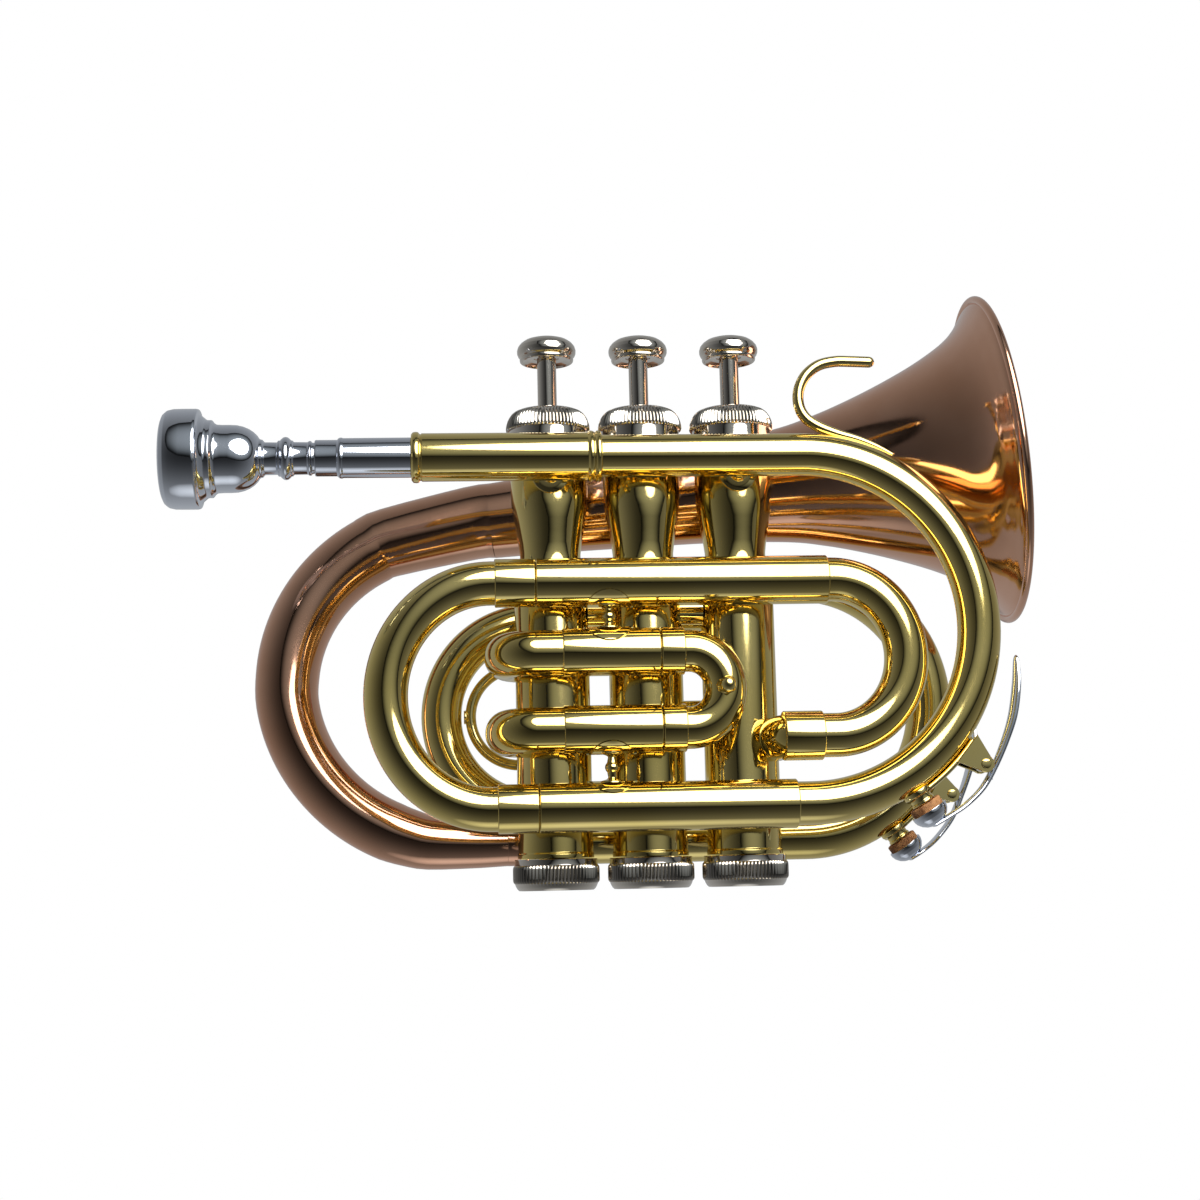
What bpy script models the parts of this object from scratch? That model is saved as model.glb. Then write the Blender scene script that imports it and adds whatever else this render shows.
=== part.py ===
"""Pocket cornet: three piston valves, wrapped tubing, four pulling slides, two water keys.

Frame: +Z runs up the valves, +X points to the bell, +Y away from the player's left hand.
The origin is on the middle valve's axis, at the bottom face of its bottom cap.
All dimensions below are in millimetres and are turned into metres by MM.
"""
import bmesh
import bpy
import math
from mathutils import Matrix, Vector

MM = 0.001

# valves
VALVE_X = (-25.6, 0.0, 25.6)
CASING_R = 10.1
CASING_TOP = 119.0
CASING_BOTTOM = 8.6
BORE_R = 7.85
CAP_R = 11.6
PISTON_R = 7.5
PISTON_TOP = 97.0
PISTON_BOTTOM = 31.0
STROKE = 16.0
STEM_R = 2.6
BUTTON_R = 8.2
BUTTON_TOP = 152.6
SADDLE_CUT_R = 10.45

# heights and depths of the tube runs
FRONT_Y = -18.0
SLIDE3_Y = 16.5
BELL_Y = 25.4
LEAD_Z = 115.0
UPPER_Z = 80.8
LOWER_Z = 21.3
SLIDE1_TOP_Z = 62.1
SLIDE1_LOW_Z = 41.7
INNER_LOW_Z = 39.1
SLIDE2_TOP_Z = 60.5
SLIDE2_LOW_Z = 37.5
SLIDE3_TOP_Z = 74.6
SLIDE3_LOW_Z = 22.1
EXIT_Z = 87.5
TAIL_Z = 13.4
GAP = 0.3

# tube radii
BOW_R = 5.8
SLEEVE_R = 6.5
SLEEVE_BORE = 5.6
LEG_R = 5.25
WALL = 0.7
SLIDE1_SLEEVE_R = 6.35
SLIDE1_BOW_R = 5.55
SLIDE1_LEG_R = 5.0
SLIDE1_BORE = 5.4
SLIDE3_SLEEVE_R = 5.95
SLIDE3_BORE = 5.35
SLIDE3_LEG_R = 5.0
TAIL_R = 6.4

# bell
BELL_AXIS_TILT = math.radians(5.6)
BELL_YAW = math.radians(4.5)
BELL_RIM_X = 103.6
BELL_RIM_Y = 19.4
BELL_RIM_Z = 121.1
BELL_RIM_R = 46.1
BOW_SWAY = 6.1
BELL_WALL = 0.9

for old in list(bpy.data.objects):
    bpy.data.objects.remove(old, do_unlink=True)

parts = bpy.data.collections.new("pocket_cornet")
bpy.context.scene.collection.children.link(parts)
cutters = bpy.data.collections.new("cutters")
bpy.context.scene.collection.children.link(cutters)


def material(name, colour, rough, metallic=1.0):
    """One plain Principled material for one node."""
    mat = bpy.data.materials.new(name)
    mat.use_nodes = True
    node = mat.node_tree.nodes["Principled BSDF"]
    node.inputs["Base Color"].default_value = (*colour, 1.0)
    node.inputs["Roughness"].default_value = rough
    node.inputs["Metallic"].default_value = metallic
    return mat


BRASS = (0.80, 0.58, 0.22)
COPPER = (0.72, 0.36, 0.24)
NICKEL = (0.72, 0.70, 0.66)
SILVER = (0.78, 0.79, 0.82)
CORK = (0.72, 0.45, 0.25)
STEEL = (0.55, 0.56, 0.58)


def finish(obj, colour, rough=0.25, metallic=1.0):
    """Give a node its material and put it in the parts collection."""
    outward(obj)
    obj.data.materials.clear()
    obj.data.materials.append(material(obj.name, colour, rough, metallic))
    for coll in list(obj.users_collection):
        coll.objects.unlink(obj)
    parts.objects.link(obj)
    return obj


def apply_mods(obj):
    """Turn a node and its modifiers into a plain mesh that keeps its place."""
    graph = bpy.context.evaluated_depsgraph_get()
    mesh = bpy.data.meshes.new_from_object(obj.evaluated_get(graph))
    name = obj.name
    place = obj.matrix_world.copy()
    colls = list(obj.users_collection)
    bpy.data.objects.remove(obj, do_unlink=True)
    done = bpy.data.objects.new(name, mesh)
    done.matrix_world = place
    for coll in colls:
        coll.objects.link(done)
    return done


def turned(name, profile, place, axis="Z", steps=16, closed=False):
    """Turn a profile of (radius, height) about an axis through place."""
    mesh = bpy.data.meshes.new(name)
    verts = [(r * MM, 0.0, h * MM) for r, h in profile]
    edges = [(i, i + 1) for i in range(len(verts) - 1)]
    if closed:
        edges.append((len(verts) - 1, 0))
    mesh.from_pydata(verts, edges, [])
    obj = bpy.data.objects.new(name, mesh)
    parts.objects.link(obj)
    obj.location = Vector(place) * MM
    if axis == "X":
        obj.rotation_euler = (0.0, math.radians(90), 0.0)
    if axis == "Y":
        obj.rotation_euler = (math.radians(-90), 0.0, 0.0)
    screw = obj.modifiers.new("turn", "SCREW")
    screw.steps = steps
    screw.render_steps = steps
    screw.use_merge_vertices = True
    screw.merge_threshold = 0.00001
    screw.use_smooth_shade = True
    screw.use_normal_calculate = True
    bpy.context.view_layer.update()
    return obj


def arc(cx, cy, radius, start, stop, count):
    """Points on a circle arc in a plane, angles in degrees."""
    pts = []
    for i in range(count + 1):
        a = math.radians(start + (stop - start) * i / count)
        pts.append((cx + radius * math.cos(a), cy + radius * math.sin(a)))
    return pts


def swept(name, points, radius, sides=2, caps=False, radii=None):
    """A round tube or rod along points, as a mesh made from a curve."""
    curve = bpy.data.curves.new(name, "CURVE")
    curve.dimensions = "3D"
    curve.bevel_depth = radius * MM
    curve.bevel_resolution = sides
    curve.use_fill_caps = caps
    curve.twist_mode = "MINIMUM"
    spline = curve.splines.new("POLY")
    spline.points.add(len(points) - 1)
    for i, p in enumerate(points):
        spline.points[i].co = (p[0] * MM, p[1] * MM, p[2] * MM, 1.0)
        if radii:
            spline.points[i].radius = radii[i] / radius
    obj = bpy.data.objects.new(name, curve)
    parts.objects.link(obj)
    bpy.context.view_layer.update()
    obj = apply_mods(obj)
    if caps:
        weld(obj)
    return obj


def weld(obj):
    """Join the loose end caps of a swept rod to its sides."""
    bm = bmesh.new()
    bm.from_mesh(obj.data)
    bmesh.ops.remove_doubles(bm, verts=bm.verts, dist=0.00001)
    bmesh.ops.recalc_face_normals(bm, faces=bm.faces)
    bm.to_mesh(obj.data)
    bm.free()


def outward(obj):
    """Make a node's faces point outwards."""
    bm = bmesh.new()
    bm.from_mesh(obj.data)
    bmesh.ops.recalc_face_normals(bm, faces=bm.faces)
    bm.to_mesh(obj.data)
    bm.free()


def pipe(name, points, radius, wall=WALL, sides=4, radii=None, trims=()):
    """A hollow tube with open ends, trimmed where it meets round casings."""
    obj = swept(name, points, radius, sides, False, radii)
    outward(obj)
    shell = obj.modifiers.new("wall", "SOLIDIFY")
    shell.thickness = wall * MM
    shell.offset = -1.0
    shell.use_even_offset = True
    shell.use_rim = True
    for cutter in trims:
        cut(obj, cutter)
    bpy.context.view_layer.update()
    obj = apply_mods(obj)
    smooth(obj)
    return obj


def bow_points(joint_x, side, place_y, top_z, low_z, count, flat=1.0):
    """Half circle, or one flattened a little, with short straight ends that meet their joints squarely."""
    mid = (top_z + low_z) / 2
    bend = (top_z - low_z) / 2
    pts = [(joint_x, place_y, top_z)]
    start = joint_x + side * 0.9
    for x, z in arc(0.0, mid, bend, 90, 90 - side * 180, count):
        pts.append((start + x * flat, place_y, z))
    pts.append((joint_x, place_y, low_z))
    return pts


def smooth(obj):
    """Shade round faces smooth and keep real edges sharp."""
    obj.data.shade_smooth()
    obj.data.set_sharp_from_angle(angle=math.radians(40))


def cut(obj, cutter, how="DIFFERENCE"):
    """Add an exact boolean to a node."""
    mod = obj.modifiers.new("cut", "BOOLEAN")
    mod.operation = how
    mod.solver = "EXACT"
    mod.object = cutter


def make_cutter(obj):
    """Move a shape into the hidden cutter collection."""
    outward(obj)
    for coll in list(obj.users_collection):
        coll.objects.unlink(obj)
    cutters.objects.link(obj)
    obj.hide_render = True
    obj.display_type = "WIRE"
    return obj


def rod(name, radius, low, high, place, axis="Z", steps=16):
    """A plain solid cylinder as a mesh."""
    return apply_mods(turned(name, [(0, high), (radius, high), (radius, low), (0, low)], place, axis, steps))


casing_cut = []
for index, vx in enumerate(VALVE_X):
    casing_cut.append(make_cutter(rod("cut_casing_%d" % (index + 1), SADDLE_CUT_R, 5.0, 122.0, (vx, 0, 0), "Z", 24)))


def hollow_turned(name, outer, inner, place, axis="Z", steps=16):
    """Turned ring: outer profile runs down, inner profile runs back up."""
    obj = apply_mods(turned(name, list(outer) + list(inner), place, axis, steps, True))
    smooth(obj)
    return obj


def casing(index, vx):
    """Baluster-shaped valve casing with a straight bore; the middle one carries the knuckles."""
    name = "casing_%d" % (index + 1)
    outer = [(10.4, CASING_TOP), (10.4, 109.0), (10.0, 103.0), (8.9, 96.5), (8.45, 91.5),
             (8.7, 88.0), (9.7, 82.5), (CASING_R, 78.5), (CASING_R, CASING_BOTTOM)]
    inner = [(BORE_R, CASING_BOTTOM), (BORE_R, CASING_TOP)]
    obj = hollow_turned(name, outer, inner, (vx, 0, 0), "Z", 16)
    outward(obj)
    if index == 1:
        for j, (side, height) in enumerate(((-1, 74.5), (1, 74.5), (1, 46.0))):
            low, high = sorted((side * 8.9, side * 17.5))
            stub = rod("cut_knuckle_%d" % j, 4.6, low, high, (0, 1.0, height), "X", 12)
            cut(obj, make_cutter(stub), "UNION")
        cut(obj, casing_cut[0])
        cut(obj, casing_cut[2])
        bpy.context.view_layer.update()
        obj = apply_mods(obj)
        smooth(obj)
    finish(obj, BRASS, 0.22)


def bottom_cap(index, vx):
    """Knurled cap that closes a casing from below."""
    outer = [(0, 2.5), (7.4, 2.5), (7.4, 8.3), (11.1, 8.3), (11.1, 6.8), (CAP_R, 6.6), (CAP_R, 2.0), (10.4, 0.0), (0, 0.0)]
    obj = apply_mods(turned("bottom_cap_%d" % (index + 1), outer, (vx, 0, 0), "Z", 16))
    smooth(obj)
    finish(obj, NICKEL, 0.3)


def top_cap(index, vx):
    """Knurled cap over the casing with a hole for the stem."""
    outer = [(8.8, 131.6), (11.0, 130.6), (CAP_R, 130.3), (CAP_R, 126.0), (10.9, 125.7), (10.9, 119.3)]
    inner = [(BORE_R, 119.3), (BORE_R, 128.4), (3.2, 128.4), (3.2, 131.6)]
    obj = hollow_turned("top_cap_%d" % (index + 1), outer, inner, (vx, 0, 0), "Z", 16)
    finish(obj, NICKEL, 0.3)


def piston(index, vx):
    """Hollow piston, open below, with two pairs of ports through its wall."""
    outer = [(0, PISTON_TOP), (PISTON_R, PISTON_TOP), (PISTON_R, PISTON_BOTTOM), (6.4, PISTON_BOTTOM),
             (6.4, PISTON_TOP - 3.0), (0, PISTON_TOP - 3.0)]
    obj = apply_mods(turned("piston_%d" % (index + 1), outer, (vx, 0, 0), "Z", 16))
    outward(obj)
    for j, height in enumerate((42.0, 68.0)):
        cut(obj, make_cutter(rod("cut_port_%d_%d" % (index, j), 4.2, -12.0, 12.0, (vx, 0, height), "Y", 10)))
    bpy.context.view_layer.update()
    obj = apply_mods(obj)
    smooth(obj)
    finish(obj, NICKEL, 0.2)


def stem(index, vx):
    """Piston stem with its finger button on top."""
    outer = [(0, BUTTON_TOP), (4.2, BUTTON_TOP - 0.25), (7.0, BUTTON_TOP - 1.2), (BUTTON_R, BUTTON_TOP - 3.4),
             (8.0, 147.2), (7.4, 146.6), (7.4, 145.8), (6.5, 145.8), (5.0, 146.8), (STEM_R, 147.0), (STEM_R, 97.3),
             (0, 97.3)]
    obj = apply_mods(turned("stem_%d" % (index + 1), outer, (vx, 0, 0), "Z", 16))
    smooth(obj)
    finish(obj, NICKEL, 0.15)


def valve_spring(index, vx):
    """Coil spring between the bottom cap and the piston."""
    turns = 4
    per_turn = 8
    low = 3.4
    high = PISTON_BOTTOM - 0.9
    pts = []
    for i in range(turns * per_turn + 1):
        a = 2 * math.pi * i / per_turn
        z = low + (high - low) * i / (turns * per_turn)
        pts.append((vx + 5.6 * math.cos(a), 5.6 * math.sin(a), z))
    obj = swept("valve_spring_%d" % (index + 1), pts, 0.5, 1, True)
    smooth(obj)
    finish(obj, STEEL, 0.3)


def mouthpiece():
    """Cup mouthpiece with a bored throat; its shank is pushed into the receiver."""
    outer = [(9.0, -128.2), (12.6, -128.0), (13.3, -126.4), (13.3, -119.0), (12.7, -118.2), (11.0, -117.9),
             (10.9, -115.6), (9.0, -115.0), (8.7, -111.0), (7.2, -106.6), (5.0, -103.6), (4.15, -102.6),
             (4.1, -98.2), (5.3, -97.6), (5.5, -95.8), (5.3, -94.0), (4.3, -93.5), (4.2, -88.5), (3.8, -70.0)]
    inner = [(3.1, -70.0), (1.9, -108.0), (4.2, -113.0), (7.2, -119.0), (8.0, -125.0)]
    flipped = [(r, -h) for r, h in outer]
    back = [(r, -h) for r, h in inner]
    obj = turned("mouthpiece", flipped + back, (0, FRONT_Y, LEAD_Z), "X", 16, True)
    obj.rotation_euler = (0.0, math.radians(-90), 0.0)
    bpy.context.view_layer.update()
    obj = apply_mods(obj)
    smooth(obj)
    finish(obj, SILVER, 0.1)


def along_x(name, profile, bore, place_y, place_z, colour, steps=16, rough=0.22):
    """Tube along X: profile is a list of (radius, x) with x rising; bore is its inner radius."""
    first = profile[0][1]
    last = profile[-1][1]
    outer = [(r, h) for r, h in reversed(profile)]
    inner = [(bore, first), (bore, last)]
    obj = hollow_turned(name, outer, inner, (0, place_y, place_z), "X", steps)
    return finish(obj, colour, rough)


def lead_section():
    """Receiver, leadpipe sleeve, and the leadpipe that runs into the large bow."""
    along_x("receiver", [(4.8, -88.2), (4.8, -81.8), (5.4, -81.6), (5.4, -62.9), (5.15, -62.7), (5.15, -44.0)],
            4.45, FRONT_Y, LEAD_Z, SILVER, 16, 0.12)
    along_x("leadpipe_sleeve", [(6.8, -62.5), (6.8, -60.2), (6.45, -60.0), (6.45, -15.4), (6.9, -15.2),
                                (6.9, -12.2)], 5.5, FRONT_Y, LEAD_Z, BRASS)
    mid = (LEAD_Z + LOWER_Z) / 2
    bend = (LEAD_Z - LOWER_Z) / 2
    pts = [(-11.9, FRONT_Y, LEAD_Z)]
    for x, z in arc(41.45, mid, bend, 90, -90, 12):
        pts.append((x, FRONT_Y, z))
    pts.append((37.6, FRONT_Y, LOWER_Z))
    finish(pipe("leadpipe_bow", pts, BOW_R, WALL, 3), BRASS, 0.2)


def main_slide():
    """Outer sleeves of the main tuning slide, and the slide itself."""
    along_x("main_sleeve_upper", [(SLEEVE_R, -30.4), (SLEEVE_R, 47.3)], SLEEVE_BORE, FRONT_Y, UPPER_Z, BRASS)
    along_x("main_sleeve_lower", [(SLEEVE_R, -30.4), (SLEEVE_R, 37.3)], SLEEVE_BORE, FRONT_Y, LOWER_Z, BRASS)
    for name, z in (("tuning_leg_upper", UPPER_Z), ("tuning_leg_lower", LOWER_Z)):
        along_x(name, [(SLEEVE_R, -41.2), (SLEEVE_R, -30.8), (LEG_R, -30.7), (LEG_R, 12.0)], 4.7,
                FRONT_Y, z, BRASS)
    pts = bow_points(-41.5, -1, FRONT_Y, UPPER_Z, LOWER_Z, 10, 0.933)
    finish(pipe("tuning_bow", pts, BOW_R + 0.05, WALL, 3), BRASS, 0.2)


def inner_bow():
    """Bow from the upper sleeve down to the elbow that enters the third valve."""
    pts = bow_points(47.6, 1, FRONT_Y, UPPER_Z, INNER_LOW_Z, 8, 0.942)
    pts[-1] = (45.0, FRONT_Y, INNER_LOW_Z)
    finish(pipe("inner_bow", pts, BOW_R, WALL, 3), BRASS, 0.2)
    path = [(43.6, FRONT_Y, INNER_LOW_Z)]
    for x, y in arc(40.6, -12.0, 6.0, -90, -180, 4):
        path.append((x, y, INNER_LOW_Z))
    path.append((34.6, -4.5, INNER_LOW_Z))
    bend_obj = swept("valve3_elbow", path, 5.8, 5, True)
    ring = rod("cut_ferrule", 6.55, 34.4, 44.7, (0, FRONT_Y, INNER_LOW_Z), "X", 16)
    cut(bend_obj, make_cutter(ring), "UNION")
    bore_path = [(46.0, FRONT_Y, INNER_LOW_Z)] + path[1:-1] + [(34.6, 0.0, INNER_LOW_Z)]
    bore = swept("cut_elbow_bore", bore_path, 4.7, 4, True)
    cut(bend_obj, make_cutter(bore))
    cut(bend_obj, casing_cut[2])
    bpy.context.view_layer.update()
    bend_obj = apply_mods(bend_obj)
    smooth(bend_obj)
    finish(bend_obj, BRASS, 0.2)


def slide_one():
    """First valve slide in front of the valves."""
    for name, z in (("slide1_sleeve_upper", SLIDE1_TOP_Z), ("slide1_sleeve_lower", SLIDE1_LOW_Z)):
        pts = [(2.0, FRONT_Y, z)]
        for x, y in arc(-31.0, -10.8, 7.2, -90, -180, 4):
            pts.append((x, y, z))
        for x, y in arc(-31.0, -7.2, 7.2, 180, 90, 4):
            pts.append((x, y, z))
        obj = pipe(name, pts, SLIDE1_SLEEVE_R, SLIDE1_SLEEVE_R - SLIDE1_BORE, 4, None, [casing_cut[0]])
        finish(obj, BRASS, 0.2)
    for name, z in (("slide1_leg_upper", SLIDE1_TOP_Z), ("slide1_leg_lower", SLIDE1_LOW_Z)):
        along_x(name, [(SLIDE1_LEG_R, -22.0), (SLIDE1_LEG_R, 2.2), (SLIDE1_SLEEVE_R, 2.3), (SLIDE1_SLEEVE_R, 8.6)],
                4.4, FRONT_Y, z, BRASS)
    mid = (SLIDE1_TOP_Z + SLIDE1_LOW_Z) / 2
    pts = bow_points(8.9, 1, FRONT_Y, SLIDE1_TOP_Z, SLIDE1_LOW_Z, 8, 0.95)
    finish(pipe("slide1_bow", pts, SLIDE1_BOW_R, WALL, 3), BRASS, 0.2)
    knob = apply_mods(turned("slide1_knob", [(0, 5.0), (1.6, 4.6), (2.35, 3.0), (2.0, 1.5), (1.2, 0.9), (1.2, 0.3),
                                             (0, 0.3)], (19.0, FRONT_Y - SLIDE1_BOW_R, mid + 0.3), "Y", 12))
    knob.matrix_world = Matrix.Translation((19.0 * MM, (FRONT_Y - SLIDE1_BOW_R) * MM, (mid + 0.3) * MM)) @ \
        Matrix.Rotation(math.radians(90), 4, "X")
    smooth(knob)
    finish(knob, BRASS, 0.15)


def slide_two():
    """Second valve slide, which sticks out behind the middle valve."""
    for name, z in (("slide2_sleeve_upper", SLIDE2_TOP_Z), ("slide2_sleeve_lower", SLIDE2_LOW_Z)):
        pts = [(0, 8.0, z), (0, 14.0, z), (0, 25.0, z)]
        finish(pipe(name, pts, 6.3, 0.9, 4, None, [casing_cut[1]]), BRASS, 0.2)
    mid = (SLIDE2_TOP_Z + SLIDE2_LOW_Z) / 2
    bend = (SLIDE2_TOP_Z - SLIDE2_LOW_Z) / 2
    pts = [(0, 13.0, SLIDE2_TOP_Z)]
    for a, b in arc(26.5, mid, bend, 90, -90, 8):
        pts.append((0, a, b))
    pts.append((0, 13.0, SLIDE2_LOW_Z))
    finish(pipe("slide2_bow", pts, 5.1), BRASS, 0.2)


def slide_three():
    """Third valve slide behind the valves, with a finger ring."""
    for name, z in (("slide3_sleeve_upper", SLIDE3_TOP_Z), ("slide3_sleeve_lower", SLIDE3_LOW_Z)):
        pts = [(25.6, 6.0, z)]
        for x, y in arc(19.2, SLIDE3_Y - 6.4, 6.4, 0, 90, 4):
            pts.append((x, y, z))
        pts.append((-21.6, SLIDE3_Y, z))
        obj = pipe(name, pts, SLIDE3_SLEEVE_R, SLIDE3_SLEEVE_R - SLIDE3_BORE, 4, None, [casing_cut[2]])
        finish(obj, BRASS, 0.2)
    for name, z in (("slide3_leg_upper", SLIDE3_TOP_Z), ("slide3_leg_lower", SLIDE3_LOW_Z)):
        along_x(name, [(SLIDE3_SLEEVE_R, -28.7), (SLIDE3_SLEEVE_R, -22.0), (SLIDE3_LEG_R, -21.9),
                       (SLIDE3_LEG_R, 12.0)], 4.4, SLIDE3_Y, z, BRASS)
    mid = (SLIDE3_TOP_Z + SLIDE3_LOW_Z) / 2
    pts = bow_points(-29.0, -1, SLIDE3_Y, SLIDE3_TOP_Z, SLIDE3_LOW_Z, 10)
    finish(pipe("slide3_bow", pts, 5.75, WALL, 3), BRASS, 0.2)
    ring = []
    for x, z in arc(-34.4, mid, 13.4, 180, 540, 20):
        ring.append((x, SLIDE3_Y, z))
    obj = closed_ring("finger_ring", ring[:-1], 1.4)
    finish(obj, BRASS, 0.2)


def closed_ring(name, points, radius):
    """A round wire bent into a closed ring."""
    curve = bpy.data.curves.new(name, "CURVE")
    curve.dimensions = "3D"
    curve.bevel_depth = radius * MM
    curve.bevel_resolution = 2
    spline = curve.splines.new("POLY")
    spline.points.add(len(points) - 1)
    for i, p in enumerate(points):
        spline.points[i].co = (p[0] * MM, p[1] * MM, p[2] * MM, 1.0)
    spline.use_cyclic_u = True
    obj = bpy.data.objects.new(name, curve)
    parts.objects.link(obj)
    bpy.context.view_layer.update()
    obj = apply_mods(obj)
    weld(obj)
    smooth(obj)
    return obj


def bell_axis(s):
    """Point on the bell's axis, s millimetres from the rim plane."""
    x = BELL_RIM_X + s * math.cos(BELL_AXIS_TILT) * math.cos(BELL_YAW)
    y = BELL_RIM_Y - s * math.cos(BELL_AXIS_TILT) * math.sin(BELL_YAW)
    z = BELL_RIM_Z + s * math.sin(BELL_AXIS_TILT)
    return x, y, z


def bell_section():
    """Exit tube of the first valve, back bow and tail, copper bow, and the bell."""
    mid = (EXIT_Z + TAIL_Z) / 2
    bend = (EXIT_Z - TAIL_Z) / 2
    pts = [(VALVE_X[0], 8.0, EXIT_Z)]
    for x, y in arc(VALVE_X[0] + 7.0, BELL_Y - 7.0, 7.0, 180, 90, 4):
        pts.append((x, y, EXIT_Z))
    for x, z in arc(47.0, mid, bend, 90, -90, 10):
        pts.append((x, BELL_Y, z))
    pts.append((-34.2, BELL_Y, TAIL_Z))
    obj = pipe("back_bow_tail", pts, TAIL_R, WALL, 3, None, [casing_cut[0]])
    finish(obj, BRASS, 0.2)
    along_x("bell_ferrule", [(6.45, -38.2), (6.45, -34.5)], 5.6, BELL_Y, TAIL_Z, COPPER)
    path = [(-38.5, BELL_Y, TAIL_Z), (-46.0, BELL_Y, TAIL_Z)]
    for i in range(1, 12):
        turn = i * 173.0 / 12
        a = math.radians(-90 - turn)
        inward = math.sin(math.radians(2 * turn)) if turn < 90 else 0.3
        path.append((-54.0 + (46.3 - inward) * math.cos(a), BELL_Y + BOW_SWAY * math.sin(math.radians(turn / 2)) ** 2,
                     58.9 + (45.4 - inward) * math.sin(a)))
    path.append(bell_axis(-152.0))
    path.append(bell_axis(-146.0))
    run = [0.0]
    for i in range(1, len(path)):
        run.append(run[-1] + math.dist(path[i], path[i - 1]))
    radii = []
    for r in run:
        t = r / run[-1]
        radii.append(6.4 + 2.0 * min(1.0, t / 0.2) ** 0.8 + 2.5 * (max(0.0, t - 0.2) / 0.8) ** 1.6)
    finish(pipe("bell_bow", path, 10.0, 0.8, 4, radii), COPPER, 0.2)
    profile = [(BELL_RIM_R, 0.0), (43.6, -2.5), (40.0, -5.0), (36.8, -8.0), (33.6, -12.5), (29.8, -20.0),
               (25.7, -30.0), (22.2, -40.0), (19.2, -50.0), (16.6, -61.0), (14.3, -82.0), (12.9, -104.0),
               (11.7, -126.0), (10.9, -145.7)]
    outer = [(r, h) for r, h in profile]
    inner = [(r - BELL_WALL, h) for r, h in reversed(profile[1:])]
    lip = [(BELL_RIM_R - BELL_WALL * 0.6, 0.6)]
    obj = turned("bell", outer + inner + lip, (BELL_RIM_X, BELL_RIM_Y, BELL_RIM_Z), "X", 24, True)
    obj.rotation_euler = (0.0, math.radians(90) - BELL_AXIS_TILT, -BELL_YAW)
    bpy.context.view_layer.update()
    obj = apply_mods(obj)
    smooth(obj)
    finish(obj, COPPER, 0.2)
    rim = []
    turn = Matrix.Rotation(-BELL_YAW, 3, "Z") @ Matrix.Rotation(math.radians(90) - BELL_AXIS_TILT, 3, "Y")
    for i in range(24):
        a = 2 * math.pi * i / 24
        p = turn @ Vector(((BELL_RIM_R + 1.25) * math.cos(a), (BELL_RIM_R + 1.25) * math.sin(a), 0.0))
        rim.append((BELL_RIM_X + p.x, BELL_RIM_Y + p.y, BELL_RIM_Z + p.z))
    finish(closed_ring("bell_rim_wire", rim, 0.9), COPPER, 0.2)


def braces():
    """Ball posts between the front tubes, and pads that tie the leadpipe to the casings."""
    low_top = SLIDE1_TOP_Z + SLIDE1_SLEEVE_R + GAP
    high_top = UPPER_Z - SLEEVE_R - GAP
    low_bot = LOWER_Z + SLEEVE_R + GAP
    high_bot = SLIDE1_LOW_Z - SLIDE1_SLEEVE_R - GAP
    for name, low, high in (("brace_upper", low_top, high_top), ("brace_lower", low_bot, high_bot)):
        m = (low + high) / 2
        h = (high - low) / 2
        prof = [(0, h), (3.6, h), (3.6, h - 0.5), (1.3, h - 0.9), (2.1, 0.9), (2.4, 0.0), (2.1, -0.9), (1.3, -h + 0.9),
                (3.6, -h + 0.5), (3.6, -h), (0, -h)]
        obj = apply_mods(turned(name, prof, (-11.3, FRONT_Y, m), "Z", 12))
        smooth(obj)
        finish(obj, BRASS, 0.2)
    for name, vx in (("lead_brace_1", VALVE_X[0]), ("lead_brace_3", VALVE_X[2])):
        obj = rod(name, 4.8, -11.25, -10.75, (vx, 0, 112.4), "Y", 12)
        smooth(obj)
        finish(obj, BRASS, 0.2)


def hook():
    """Finger hook that stands on top of the large bow."""
    mid = (LEAD_Z + LOWER_Z) / 2
    out = (LEAD_Z - LOWER_Z) / 2 + BOW_R
    path = [(61.5, 140.6), (52.0, 140.8), (47.5, 139.6), (43.8, 136.8), (41.7, 132.6), (41.7, 128.3), (43.4, 124.9),
            (46.8, 122.7)]
    radii = [1.5] * 8
    for x, r in ((52.0, 1.3), (57.0, 1.1), (62.0, 0.9), (66.6, 0.7)):
        a = math.acos((x - 41.45) / out)
        grow = (out + r + 0.35) / out
        path.append((41.45 + (x - 41.45) * grow, mid + out * math.sin(a) * grow))
        radii.append(r)
    pts = [(x, FRONT_Y, z) for x, z in path]
    obj = swept("finger_hook", pts, 1.5, 2, True, radii)
    smooth(obj)
    finish(obj, BRASS, 0.15)


def strip(name, middle, half_thick, half_width, place_y, colour, rough):
    """A bent flat bar: its outline is drawn round a middle line and pushed out sideways."""
    left = []
    right = []
    count = len(middle)
    for i, (x, z) in enumerate(middle):
        a = Vector(middle[max(i - 1, 0)])
        b = Vector(middle[min(i + 1, count - 1)])
        d = (b - a).normalized()
        t = half_thick[i]
        left.append((x - d.y * t, z + d.x * t))
        right.append((x + d.y * t, z - d.x * t))
    return plate(name, left + right[::-1], half_width, place_y, colour, rough)


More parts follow.
